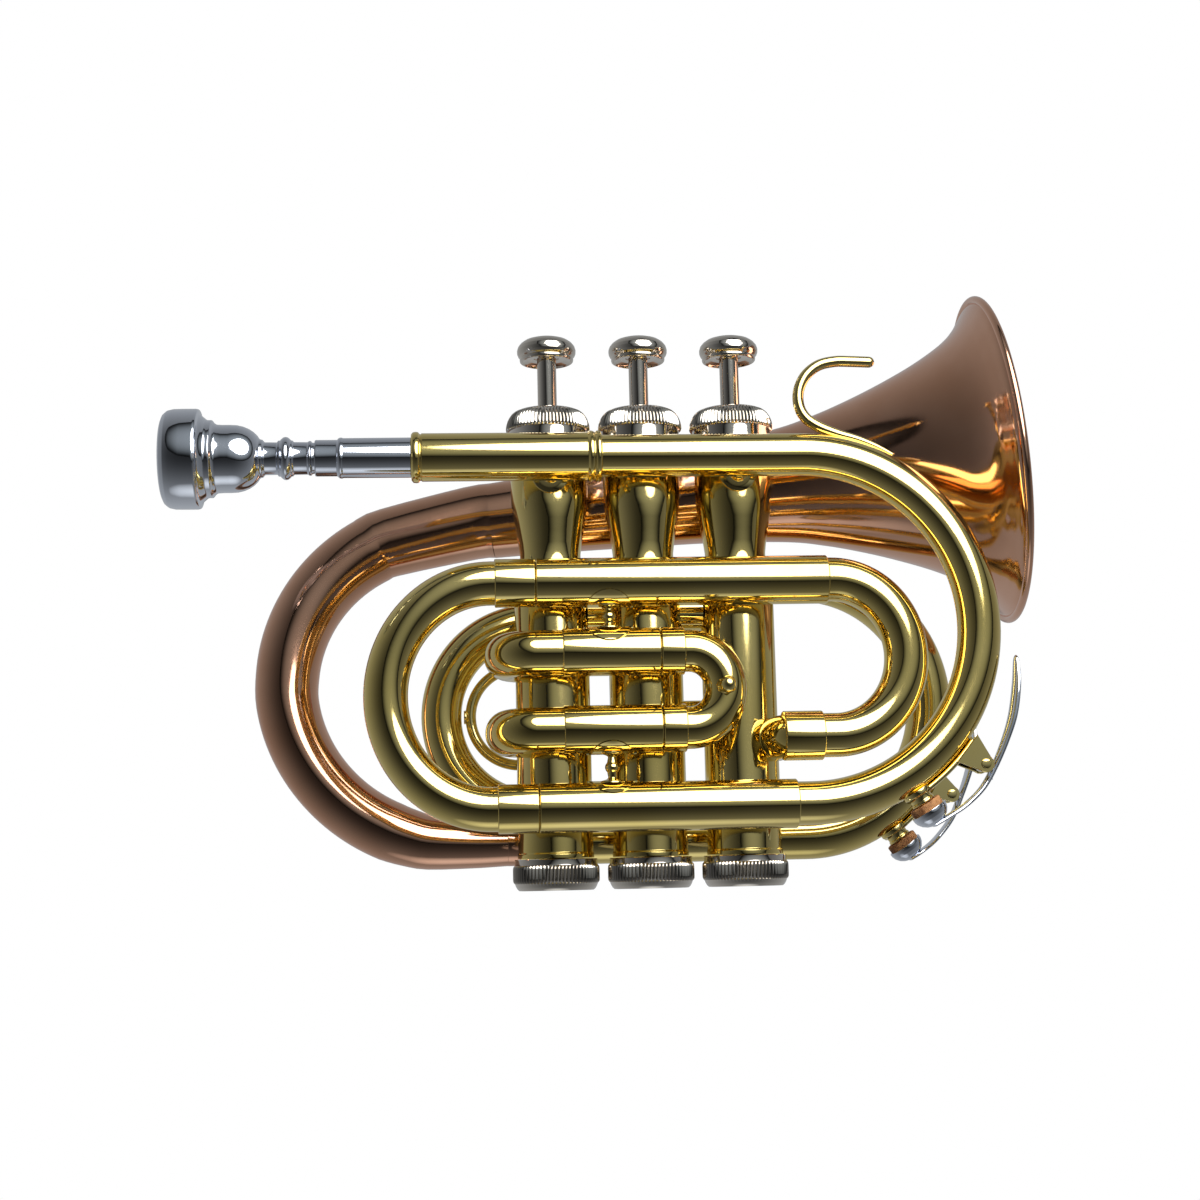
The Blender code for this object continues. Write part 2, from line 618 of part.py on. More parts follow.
def plate(name, outline, half_width, place_y, colour, rough):
    """A flat outline in the XZ plane, pushed out along Y."""
    curve = bpy.data.curves.new(name, "CURVE")
    curve.dimensions = "2D"
    curve.fill_mode = "BOTH"
    curve.extrude = half_width * MM
    spline = curve.splines.new("POLY")
    spline.points.add(len(outline) - 1)
    for i, (x, z) in enumerate(outline):
        spline.points[i].co = (x * MM, z * MM, 0.0, 1.0)
    spline.use_cyclic_u = True
    obj = bpy.data.objects.new(name, curve)
    parts.objects.link(obj)
    obj.matrix_world = Matrix.Translation((0.0, place_y * MM, 0.0)) @ Matrix.Rotation(math.radians(90), 4, "X")
    bpy.context.view_layer.update()
    obj = apply_mods(obj)
    weld(obj)
    finish(obj, colour, rough)
    return obj


def polar(centre, radius, degrees):
    """Point at an angle round a bow's centre."""
    a = math.radians(degrees)
    return centre[0] + radius * math.cos(a), centre[1] + radius * math.sin(a)


def move_origin(obj, x, y, z):
    """Put the node's origin on its joint axis without moving its shape."""
    target = Vector((x, y, z)) * MM
    shift = Matrix.Translation(-target) @ obj.matrix_world
    obj.data.transform(shift)
    obj.matrix_world = Matrix.Translation(target)


def water_key(number, centre, outer, place_y, pivot_deg, pivot_h, cork_deg, tip_deg, tip_h):
    """Lever on a saddle, with a cork that closes the drain on the outside of a bow."""
    saddle = []
    foot = outer + 0.35
    for d in (pivot_deg - 5.5, pivot_deg, pivot_deg + 5.5):
        saddle.append(polar(centre, foot, d))
    saddle.append(polar(centre, foot + 0.9, pivot_deg + 5.0))
    saddle.append(polar(centre, outer + pivot_h - 1.3, pivot_deg + 1.8))
    saddle.append(polar(centre, outer + pivot_h - 1.3, pivot_deg - 1.8))
    saddle.append(polar(centre, foot + 0.9, pivot_deg - 5.0))
    plate("water_key_saddle_%d" % number, saddle, 1.8, place_y, BRASS, 0.25)
    middle = []
    thick = []
    steps = 5
    for i in range(steps + 1):
        t = i / steps
        d = cork_deg - 3.0 + (pivot_deg - cork_deg + 3.0) * t
        middle.append(polar(centre, outer + 4.4 + (pivot_h - 4.4) * t, d))
        thick.append(0.6)
    for i in range(1, steps + 1):
        t = i / steps
        d = pivot_deg + (tip_deg - pivot_deg) * t
        middle.append(polar(centre, outer + pivot_h + (tip_h - pivot_h) * t, d))
        thick.append(0.7 - 0.25 * t)
    lever = strip("water_key_lever_%d" % number, middle, thick, 2.3, place_y, SILVER, 0.1)
    px, pz = polar(centre, outer + pivot_h, pivot_deg)
    move_origin(lever, px, place_y, pz)
    a = math.radians(cork_deg)
    cork = apply_mods(turned("water_key_cork_%d" % number, [(0, 3.4), (2.5, 3.4), (2.6, 0.4), (0, 0.4)],
                             (0, 0, 0), "Z", 12))
    start = polar(centre, outer, cork_deg)
    cork.matrix_world = Matrix.Translation((start[0] * MM, place_y * MM, start[1] * MM)) @ \
        Matrix.Rotation(math.radians(90) - a, 4, "Y")
    smooth(cork)
    finish(cork, CORK, 0.8, 0.0)
    move_origin(cork, px, place_y, pz)


for number, valve_x in enumerate(VALVE_X):
    casing(number, valve_x)
    bottom_cap(number, valve_x)
    top_cap(number, valve_x)
    piston(number, valve_x)
    stem(number, valve_x)
    valve_spring(number, valve_x)
mouthpiece()
lead_section()
main_slide()
inner_bow()
slide_one()
slide_two()
slide_three()
bell_section()
braces()
hook()
front_mid = (LEAD_Z + LOWER_Z) / 2
front_out = (LEAD_Z - LOWER_Z) / 2 + BOW_R
back_mid = (EXIT_Z + TAIL_Z) / 2
back_out = (EXIT_Z - TAIL_Z) / 2 + TAIL_R
water_key(1, (41.45, front_mid), front_out, FRONT_Y, -39.3, 6.0, -58.0, -9.0, 4.6)
water_key(2, (47.0, back_mid), back_out, BELL_Y, -31.8, 6.0, -54.7, -5.0, 6.4)
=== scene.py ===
"""Looks for the pocket cornet: fine surfaces, metals, light and the photograph's viewpoint."""
import bpy
import bmesh
import math
from mathutils import Matrix, Vector


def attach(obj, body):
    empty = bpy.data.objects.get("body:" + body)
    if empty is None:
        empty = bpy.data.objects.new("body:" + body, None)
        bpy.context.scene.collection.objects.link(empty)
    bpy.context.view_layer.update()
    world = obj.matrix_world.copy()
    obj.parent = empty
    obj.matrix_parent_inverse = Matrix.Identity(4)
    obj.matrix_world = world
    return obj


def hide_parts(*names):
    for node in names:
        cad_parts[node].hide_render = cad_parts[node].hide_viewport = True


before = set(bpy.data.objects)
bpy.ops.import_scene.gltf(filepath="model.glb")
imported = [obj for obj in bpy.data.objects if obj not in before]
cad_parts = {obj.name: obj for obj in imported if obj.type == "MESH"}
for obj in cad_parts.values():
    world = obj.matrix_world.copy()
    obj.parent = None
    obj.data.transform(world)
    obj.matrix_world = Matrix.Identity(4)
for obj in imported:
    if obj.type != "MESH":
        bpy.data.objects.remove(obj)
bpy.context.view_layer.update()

MM = 0.001
ROUND = 56

# the frame's named values, in millimetres
VALVE_X = (-25.6, 0.0, 25.6)
FRONT_Y = -18.0
SLIDE3_Y = 16.5
BELL_Y = 25.4
LEAD_Z = 115.0
UPPER_Z = 80.8
LOWER_Z = 21.3
S1_TOP = 62.1
S1_LOW = 41.7
INNER_LOW = 39.1
S2_TOP = 60.5
S2_LOW = 37.5
S3_TOP = 74.6
S3_LOW = 22.1
EXIT_Z = 87.5
TAIL_Z = 13.4
BELL_TILT = math.radians(5.6)
BELL_YAW = math.radians(4.5)
BELL_RIM = (103.6, 19.4, 121.1)
BOW_SWAY = 6.1
BELL_R = 46.1
BIG_MID = (LEAD_Z + LOWER_Z) / 2
BIG_BEND = (LEAD_Z - LOWER_Z) / 2
BACK_MID = (EXIT_Z + TAIL_Z) / 2
BACK_BEND = (EXIT_Z - TAIL_Z) / 2
BIG_CX = 41.45
BACK_CX = 47.0
BIG_TUBE_R = 5.75
BACK_TUBE_R = 6.35
SLEEVE_R = 6.5
SLIDE1_SLEEVE_R = 6.35
TUBE_WALL = 0.7
PISTON_CLEAR_R = 7.7    # a little more than a piston's radius

# the copper bow: its centre and half sizes in the XZ plane
COPPER_CENTRE = (-54.0, 58.9)
COPPER_REACH = (46.3, 45.4)

# the brace posts between the front tubes
BRACE_X = -11.3


# ---------------------------------------------------------------- shapes

def new_mesh(name, verts, faces, sharp=38):
    """A mesh object in metres from points in millimetres, smooth but for its real edges."""
    mesh = bpy.data.meshes.new(name)
    mesh.from_pydata([(v[0] * MM, v[1] * MM, v[2] * MM) for v in verts], [], faces)
    bm = bmesh.new()
    bm.from_mesh(mesh)
    bmesh.ops.remove_doubles(bm, verts=bm.verts, dist=0.000002)
    bmesh.ops.recalc_face_normals(bm, faces=bm.faces)
    bm.to_mesh(mesh)
    bm.free()
    mesh.shade_smooth()
    if sharp:
        mesh.set_sharp_from_angle(angle=math.radians(sharp))
    obj = bpy.data.objects.new(name, mesh)
    bpy.context.scene.collection.objects.link(obj)
    return obj


def fillet(profile, radius, count=4, closed=False):
    """Rounds the corners of a profile with small curves."""
    out = []
    last = len(profile)
    for i, p in enumerate(profile):
        if not closed and i in (0, last - 1):
            out.append(p)
            continue
        a = Vector(profile[i - 1])
        b = Vector(p)
        c = Vector(profile[(i + 1) % last])
        la = (a - b).length
        lc = (c - b).length
        if la < 1e-6 or lc < 1e-6:
            continue
        turn = (b - a).angle(c - b, 0.0)
        if turn < math.radians(14):
            out.append(tuple(b))
            continue
        d = min(radius, la * 0.45, lc * 0.45)
        s = b + (a - b) * (d / la)
        e = b + (c - b) * (d / lc)
        for k in range(count + 1):
            t = k / count
            q = s * (1 - t) ** 2 + b * 2 * t * (1 - t) + e * t ** 2
            out.append(tuple(q))
    return out


def revolve(name, profile, at=(0, 0, 0), axis="Z", closed=False, count=ROUND, ripple=None, sharp=38):
    """Turns a profile of (radius, height) about an axis; ripple(radius, height) gives (ridges, depth)."""
    verts = []
    faces = []
    rows = len(profile)
    for r, h in profile:
        for k in range(count):
            a = 2 * math.pi * k / count
            rr = r
            if ripple:
                ridges, depth = ripple(r, h)
                if depth:
                    rr = r - depth * (0.5 - 0.5 * math.cos(a * ridges)) ** 0.8
            verts.append(turn_point(rr, a, h, at, axis))
    span = rows if closed else rows - 1
    for i in range(span):
        j = (i + 1) % rows
        for k in range(count):
            m = (k + 1) % count
            faces.append((i * count + k, i * count + m, j * count + m, j * count + k))
    return new_mesh(name, verts, faces, sharp)


def turn_point(r, a, h, at, axis):
    """One point of a turned shape, for an axis named by a letter or given as a matrix."""
    if isinstance(axis, Matrix):
        p = axis @ Vector((r * math.cos(a), r * math.sin(a), h))
        return (p.x + at[0], p.y + at[1], p.z + at[2])
    if axis == "X":
        return (at[0] + h, at[1] + r * math.cos(a), at[2] + r * math.sin(a))
    if axis == "Y":
        return (at[0] + r * math.cos(a), at[1] + h, at[2] + r * math.sin(a))
    return (at[0] + r * math.cos(a), at[1] + r * math.sin(a), at[2] + h)


def frames(points):
    """Steady cross directions along a path."""
    pts = [Vector(p) for p in points]
    tans = []
    for i in range(len(pts)):
        a = pts[max(i - 1, 0)]
        b = pts[min(i + 1, len(pts) - 1)]
        tans.append((b - a).normalized())
    up = Vector((0, 0, 1))
    if abs(tans[0].dot(up)) > 0.9:
        up = Vector((0, 1, 0))
    side = tans[0].cross(up).normalized()
    out = []
    for i, t in enumerate(tans):
        if i:
            side = (side - t * side.dot(t)).normalized()
        out.append((pts[i], t, side, t.cross(side).normalized()))
    return out


def sweep(name, points, radius, wall=0.0, radii=None, count=40, loop=False):
    """A round tube along points; wall 0 makes a solid rod with rounded ends."""
    fr = frames(points)
    n = len(fr)
    rad = radii if radii else [radius] * n
    rings = []
    if wall or loop:
        for (p, t, s, u), r in zip(fr, rad):
            rings.append((p, s, u, r))
        if wall:
            for (p, t, s, u), r in reversed(list(zip(fr, rad))):
                rings.append((p, s, u, r - wall))
    else:
        p, t, s, u = fr[0]
        for k in range(5):
            a = math.pi / 2 * k / 4
            rings.append((p - t * rad[0] * math.cos(a), s, u, max(rad[0] * math.sin(a), 0.001)))
        for (p, t, s, u), r in zip(fr[1:-1], rad[1:-1]):
            rings.append((p, s, u, r))
        p, t, s, u = fr[-1]
        for k in range(5):
            a = math.pi / 2 * k / 4
            rings.append((p + t * rad[-1] * math.sin(a), s, u, max(rad[-1] * math.cos(a), 0.001)))
    verts = []
    faces = []
    for p, s, u, r in rings:
        for k in range(count):
            a = 2 * math.pi * k / count
            q = p + s * (r * math.cos(a)) + u * (r * math.sin(a))
            verts.append(tuple(q))
    total = len(rings)
    span = total if (wall or loop) else total - 1
    for i in range(span):
        j = (i + 1) % total
        for k in range(count):
            m = (k + 1) % count
            faces.append((i * count + k, i * count + m, j * count + m, j * count + k))
    if not (wall or loop):
        faces.append(tuple(range(count)))
        faces.append(tuple((total - 1) * count + k for k in range(count)))
    return new_mesh(name, verts, faces, 50)


def arc(cx, cy, radius, start, stop, step=3.0):
    """Points on a circle arc, one for every few degrees."""
    count = max(3, int(abs(stop - start) / step))
    pts = []
    for i in range(count + 1):
        a = math.radians(start + (stop - start) * i / count)
        pts.append((cx + radius * math.cos(a), cy + radius * math.sin(a)))
    return pts


def line(a, b, step=4.0):
    """Evenly spaced points from a to b, without b."""
    a = Vector(a)
    b = Vector(b)
    n = max(1, int((b - a).length / step))
    return [tuple(a + (b - a) * (i / n)) for i in range(n)]


def spline(points, per=8):
    """A smooth curve through points."""
    pts = [Vector(p) for p in points]
    out = []
    for i in range(len(pts) - 1):
        p0 = pts[max(i - 1, 0)]
        p1 = pts[i]
        p2 = pts[i + 1]
        p3 = pts[min(i + 2, len(pts) - 1)]
        for k in range(per):
            t = k / per
            q = 0.5 * (2 * p1 + (p2 - p0) * t + (2 * p0 - 5 * p1 + 4 * p2 - p3) * t * t
                       + (3 * p1 - p0 - 3 * p2 + p3) * t ** 3)
            out.append(tuple(q))
    out.append(tuple(pts[-1]))
    return out


def bow_path(joint_x, side, y, top, low, lead=0.9, flat=1.0):
    """Half circle, or one flattened a little, with short straight ends."""
    mid = (top + low) / 2
    bend = (top - low) / 2
    pts = [(joint_x, y, top)]
    for x, z in arc(0.0, mid, bend, 90, 90 - side * 180):
        pts.append((joint_x + side * lead + x * flat, y, z))
    pts.append((joint_x, y, low))
    return pts


def joined(name, objs):
    """Several meshes made into one piece."""
    bm = bmesh.new()
    for o in objs:
        me = o.data.copy()
        me.transform(o.matrix_world)
        bm.from_mesh(me)
        bpy.data.meshes.remove(me)
    mesh = bpy.data.meshes.new(name)
    bm.to_mesh(mesh)
    bm.free()
    for o in objs:
        bpy.data.objects.remove(o, do_unlink=True)
    mesh.shade_smooth()
    mesh.set_sharp_from_angle(angle=math.radians(38))
    obj = bpy.data.objects.new(name, mesh)
    bpy.context.scene.collection.objects.link(obj)
    return obj


def polar(centre, radius, degrees, y):
    """A point round a bow's centre, in the plane at y."""
    a = math.radians(degrees)
    return (centre[0] + radius * math.cos(a), y, centre[1] + radius * math.sin(a))


def band(name, middle, thick, widths, y):
    """A curved leaf: middle is a list of (x, z), thick its half thickness, widths its half width along y."""
    verts = []
    faces = []
    n = len(middle)
    around = 16
    for i, (x, z) in enumerate(middle):
        a = Vector(middle[max(i - 1, 0)])
        b = Vector(middle[min(i + 1, n - 1)])
        d = (b - a).normalized()
        nx, nz = -d.y, d.x
        for k in range(around):
            q = 2 * math.pi * k / around
            c = math.copysign(abs(math.cos(q)) ** 0.55, math.cos(q))
            s = math.copysign(abs(math.sin(q)) ** 0.7, math.sin(q))
            verts.append((x + nx * thick[i] * s, y + widths[i] * c, z + nz * thick[i] * s))
    for i in range(n - 1):
        for k in range(around):
            m = (k + 1) % around
            faces.append((i * around + k, i * around + m, (i + 1) * around + m, (i + 1) * around + k))
    faces.append(tuple(range(around)))
    faces.append(tuple((n - 1) * around + k for k in range(around)))
    return new_mesh(name, verts, faces, 40)


def prism(name, outline, y0, y1, bevel=0.25):
    """A flat plate in the XZ plane with softened edges."""
    cx = sum(p[0] for p in outline) / len(outline)
    cz = sum(p[1] for p in outline) / len(outline)
    verts = []
    n = len(outline)
    for y, shrink in ((y0, bevel), (y0 + bevel, 0.0), (y1 - bevel, 0.0), (y1, bevel)):
        for x, z in outline:
            d = Vector((cx - x, cz - z))
            d = d.normalized() * shrink if d.length > 1e-6 else d
            verts.append((x + d.x, y, z + d.y))
    faces = [tuple(range(n)), tuple(3 * n + k for k in range(n))]
    for i in range(3):
        for k in range(n):
            m = (k + 1) % n
            faces.append((i * n + k, i * n + m, (i + 1) * n + m, (i + 1) * n + k))
    return new_mesh(name, verts, faces, 30)


def torus(name, points, radius, count=20):
    """A round wire closed on itself."""
    n = len(points)
    pts = [Vector(p) for p in points]
    verts = []
    faces = []
    flat = (pts[n // 3] - pts[0]).cross(pts[2 * n // 3] - pts[0]).normalized()
    for i in range(n):
        t = (pts[(i + 1) % n] - pts[i - 1]).normalized()
        s = t.cross(flat).normalized()
        for k in range(count):
            a = 2 * math.pi * k / count
            verts.append(tuple(pts[i] + s * radius * math.cos(a) + flat * radius * math.sin(a)))
    for i in range(n):
        j = (i + 1) % n
        for k in range(count):
            m = (k + 1) % count
            faces.append((i * count + k, i * count + m, j * count + m, j * count + k))
    return new_mesh(name, verts, faces, 60)


def clear_of_piston(obj, valve_x):
    """Push the end that reaches into a casing out to just clear of the piston inside it, as a saddle."""
    for vertex in obj.data.vertices:
        dx, dy = vertex.co.x / MM - valve_x, vertex.co.y / MM
        reach = math.hypot(dx, dy)
        if reach < PISTON_CLEAR_R:
            grow = PISTON_CLEAR_R / reach
            vertex.co.x, vertex.co.y = (valve_x + dx * grow) * MM, dy * grow * MM
    return obj


# ---------------------------------------------------------------- materials

def noise(tree, coords, scale, detail):
    """A noise texture in the object's own space."""
    tex = tree.nodes.new("ShaderNodeTexNoise")
    tex.inputs["Scale"].default_value = scale
    tex.inputs["Detail"].default_value = detail
    tree.links.new(coords.outputs["Object"], tex.inputs["Vector"])
    return tex


def metal(name, colour, dark, rough, scratch=0.02, cloud=0.05):
    """Polished, lacquered or plated metal with faint marks, uneven gloss and slight colour drift."""
    mat = bpy.data.materials.new(name)
    mat.use_nodes = True
    nt = mat.node_tree
    bsdf = nt.nodes["Principled BSDF"]
    bsdf.inputs["Metallic"].default_value = 1.0
    tex = nt.nodes.new("ShaderNodeTexCoord")
    drift = noise(nt, tex, 34.0, 4.0)
    ramp = nt.nodes.new("ShaderNodeValToRGB")
    ramp.color_ramp.elements[0].position = 0.30
    ramp.color_ramp.elements[0].color = (*dark, 1)
    ramp.color_ramp.elements[1].position = 0.62
    ramp.color_ramp.elements[1].color = (*colour, 1)
    nt.links.new(drift.outputs["Fac"], ramp.inputs["Fac"])
    nt.links.new(ramp.outputs["Color"], bsdf.inputs["Base Color"])
    smear = noise(nt, tex, 120.0, 6.0)
    smear.inputs["Roughness"].default_value = 0.65
    gloss = nt.nodes.new("ShaderNodeMapRange")
    gloss.inputs["From Min"].default_value = 0.3
    gloss.inputs["From Max"].default_value = 0.75
    gloss.inputs["To Min"].default_value = rough
    gloss.inputs["To Max"].default_value = rough + cloud
    nt.links.new(smear.outputs["Fac"], gloss.inputs["Value"])
    nt.links.new(gloss.outputs["Result"], bsdf.inputs["Roughness"])
    grain = noise(nt, tex, 900.0, 3.0)
    wave = noise(nt, tex, 60.0, 1.0)
    both = nt.nodes.new("ShaderNodeMath")
    both.operation = "MULTIPLY_ADD"
    both.inputs[1].default_value = 0.25
    nt.links.new(grain.outputs["Fac"], both.inputs[0])
    nt.links.new(wave.outputs["Fac"], both.inputs[2])
    bump = nt.nodes.new("ShaderNodeBump")
    bump.inputs["Strength"].default_value = scratch
    bump.inputs["Distance"].default_value = 0.0004
    nt.links.new(both.outputs["Value"], bump.inputs["Height"])
    nt.links.new(bump.outputs["Normal"], bsdf.inputs["Normal"])
    return mat


def cork_material():
    """Natural cork: tan with darker grains and pits."""
    mat = bpy.data.materials.new("cork")
    mat.use_nodes = True
    nt = mat.node_tree
    bsdf = nt.nodes["Principled BSDF"]
    bsdf.inputs["Roughness"].default_value = 0.75
    tex = nt.nodes.new("ShaderNodeTexCoord")
    vor = nt.nodes.new("ShaderNodeTexVoronoi")
    vor.inputs["Scale"].default_value = 900.0
    nt.links.new(tex.outputs["Object"], vor.inputs["Vector"])
    grains = noise(nt, tex, 500.0, 5.0)
    ramp = nt.nodes.new("ShaderNodeValToRGB")
    ramp.color_ramp.elements[0].position = 0.35
    ramp.color_ramp.elements[0].color = (0.22, 0.07, 0.02, 1)
    ramp.color_ramp.elements[1].position = 0.6
    ramp.color_ramp.elements[1].color = (0.62, 0.29, 0.11, 1)
    nt.links.new(grains.outputs["Fac"], ramp.inputs["Fac"])
    nt.links.new(ramp.outputs["Color"], bsdf.inputs["Base Color"])
    bump = nt.nodes.new("ShaderNodeBump")
    bump.inputs["Strength"].default_value = 0.5
    bump.inputs["Distance"].default_value = 0.0003
    nt.links.new(vor.outputs["Distance"], bump.inputs["Height"])
    nt.links.new(bump.outputs["Normal"], bsdf.inputs["Normal"])
    return mat


BRASS = metal("lacquered_brass", (0.88, 0.70, 0.27), (0.80, 0.62, 0.20), 0.055)
BRASS_POLISHED = metal("polished_brass", (0.90, 0.73, 0.31), (0.84, 0.66, 0.24), 0.045)
COPPER = metal("lacquered_copper", (0.80, 0.46, 0.31), (0.70, 0.37, 0.23), 0.07)
NICKEL = metal("nickel_plate", (0.76, 0.70, 0.62), (0.68, 0.62, 0.54), 0.06)
SILVER = metal("silver_plate", (0.80, 0.83, 0.90), (0.72, 0.75, 0.83), 0.05)
STEEL = metal("spring_steel", (0.55, 0.56, 0.58), (0.42, 0.43, 0.45), 0.22)
CORK = cork_material()


def place(obj, mat, body, slot, *nodes):
    """Gives a piece its metal and its body, and hides the CAD nodes it stands for; slot is not used."""
    obj.data.materials.clear()
    obj.data.materials.append(mat)
    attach(obj, body)
    if nodes:
        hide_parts(*nodes)
    return obj


def tube_x(name, profile, bore, y, z, mat, body, slot, soft=0.25):
    """A turned tube along X with softened shoulders: profile is (radius, x) with x rising."""
    outer = fillet(profile, soft)
    loop = [(bore, profile[0][1])] + outer + [(bore, profile[-1][1])]
    loop = fillet(loop, 0.12, 2, True)
    obj = revolve(name, loop, (0, y, z), "X", True)
    return place(obj, mat, body, slot, slot)


# ---------------------------------------------------------------- mouthpiece and leadpipe

def mouthpiece():
    """Thick-rimmed cup mouthpiece."""
    outer = [(8.6, -127.7), (9.6, -128.1), (10.8, -128.2), (12.0, -127.7), (12.9, -126.6), (13.25, -125.0),
             (13.3, -122.5), (13.3, -119.1), (13.1, -118.5), (11.9, -118.2), (11.5, -117.9), (11.0, -117.3),
             (10.4, -116.6), (10.3, -116.2), (10.3, -115.2), (9.9, -114.9), (9.5, -114.6),
             (9.1, -114.0), (9.0, -112.4), (9.0, -110.4), (8.9, -108.6), (8.5, -107.0), (7.9, -105.6),
             (7.1, -104.4), (6.1, -103.4), (5.3, -102.9), (5.1, -102.6), (5.05, -102.1), (4.55, -101.7),
             (4.35, -101.5), (4.3, -98.2), (4.75, -98.0), (4.8, -97.4), (5.1, -97.2),
             (5.6, -96.6), (5.75, -96.0), (5.6, -95.4), (5.1, -94.8), (4.8, -94.6), (4.75, -94.1),
             (4.35, -93.9), (4.3, -90.2), (4.6, -89.9), (4.6, -89.3), (4.2, -89.1), (4.1, -88.4), (3.8, -70.0)]
    inner = [(3.0, -70.0), (1.9, -106.0), (1.9, -108.0), (2.6, -110.2), (4.4, -112.6), (6.4, -115.6),
             (7.5, -119.2), (8.0, -123.4), (8.15, -126.0), (8.3, -127.2)]
    obj = revolve("mouthpiece_fine", fillet(outer + inner, 0.2, 3, True), (0, FRONT_Y, LEAD_Z), "X", True, 72)
    place(obj, SILVER, "mouthpiece", "mouthpiece", "mouthpiece")


def lead():
    """Receiver, leadpipe sleeve with its collars, and the leadpipe with the large bow."""
    tube_x("receiver_fine", [(4.75, -88.3), (4.85, -88.0), (4.85, -82.4), (5.2, -82.2), (5.45, -81.7), (5.45, -81.2),
                             (5.3, -80.9), (5.35, -63.0), (5.15, -62.7), (5.15, -44.0)],
           4.45, FRONT_Y, LEAD_Z, SILVER, "horn", "receiver", 0.2)
    tube_x("leadpipe_sleeve_fine",
           [(6.2, -62.9), (6.75, -62.4), (6.85, -61.7), (6.75, -61.0), (6.25, -60.6), (6.2, -60.35), (6.45, -60.1),
            (6.45, -15.9), (6.6, -15.7), (6.85, -15.3), (6.9, -14.9), (6.75, -14.4), (6.5, -14.1), (6.5, -13.9),
            (6.8, -13.6), (6.95, -13.1), (6.85, -12.6), (6.6, -12.3), (5.9, -12.1)],
           5.5, FRONT_Y, LEAD_Z, BRASS, "horn", "leadpipe_sleeve", 0.15)
    pts = line((-14.0, FRONT_Y, LEAD_Z), (BIG_CX, FRONT_Y, LEAD_Z))
    pts += [(x, FRONT_Y, z) for x, z in arc(BIG_CX, BIG_MID, BIG_BEND, 90, -90, 2.5)]
    pts.append((36.0, FRONT_Y, LOWER_Z))
    place(sweep("leadpipe_bow_fine", pts, BIG_TUBE_R, TUBE_WALL), BRASS, "horn", "leadpipe_bow", "leadpipe_bow")


def main_tubes():
    """Main tuning slide: outer sleeves, ferrules with legs, and the left bow."""
    for name, z, end in (("upper", UPPER_Z, 47.4), ("lower", LOWER_Z, 37.3)):
        prof = [(6.3, -30.45), (SLEEVE_R, -30.25), (SLEEVE_R, end - 0.25), (6.3, end)]
        tube_x("main_sleeve_%s_fine" % name, prof, 5.6, FRONT_Y, z, BRASS, "horn", "main_sleeve_" + name, 0.1)
        prof = [(6.25, -41.3), (6.45, -41.1), (6.45, -30.85), (6.2, -30.6), (5.25, -30.5), (5.25, 12.0)]
        tube_x("tuning_leg_%s_fine" % name, prof, 4.7, FRONT_Y, z, BRASS, "tuning_slide", "tuning_leg_" + name, 0.1)
    pts = bow_path(-40.0, -1, FRONT_Y, UPPER_Z, LOWER_Z, 2.4, 0.933)
    place(sweep("tuning_bow_fine", pts, 5.85, TUBE_WALL), BRASS, "tuning_slide", "tuning_bow", "tuning_bow")
    pts = bow_path(46.5, 1, FRONT_Y, UPPER_Z, INNER_LOW, 2.0, 0.942)
    pts[-1] = (43.0, FRONT_Y, INNER_LOW)
    place(sweep("inner_bow_fine", pts, 5.85, TUBE_WALL), BRASS, "horn", "inner_bow", "inner_bow")
    prof = [(5.0, 34.2), (6.35, 34.2), (6.55, 34.45), (6.55, 44.5), (6.35, 44.75), (5.0, 44.75)]
    ring = revolve("elbow_ferrule", fillet(prof, 0.12, 2, True), (0, FRONT_Y, INNER_LOW), "X", True)
    path = [(40.6, FRONT_Y, INNER_LOW)]
    path += [(x, y, INNER_LOW) for x, y in arc(40.6, -12.0, 6.05, -90, -180, 5)][1:]
    path.append((34.55, -4.6, INNER_LOW))
    elbow = clear_of_piston(sweep("elbow_bend", path, 5.85, TUBE_WALL), VALVE_X[2])
    place(joined("valve3_elbow_fine", [ring, elbow]), BRASS, "horn", "valve3_elbow", "valve3_elbow")


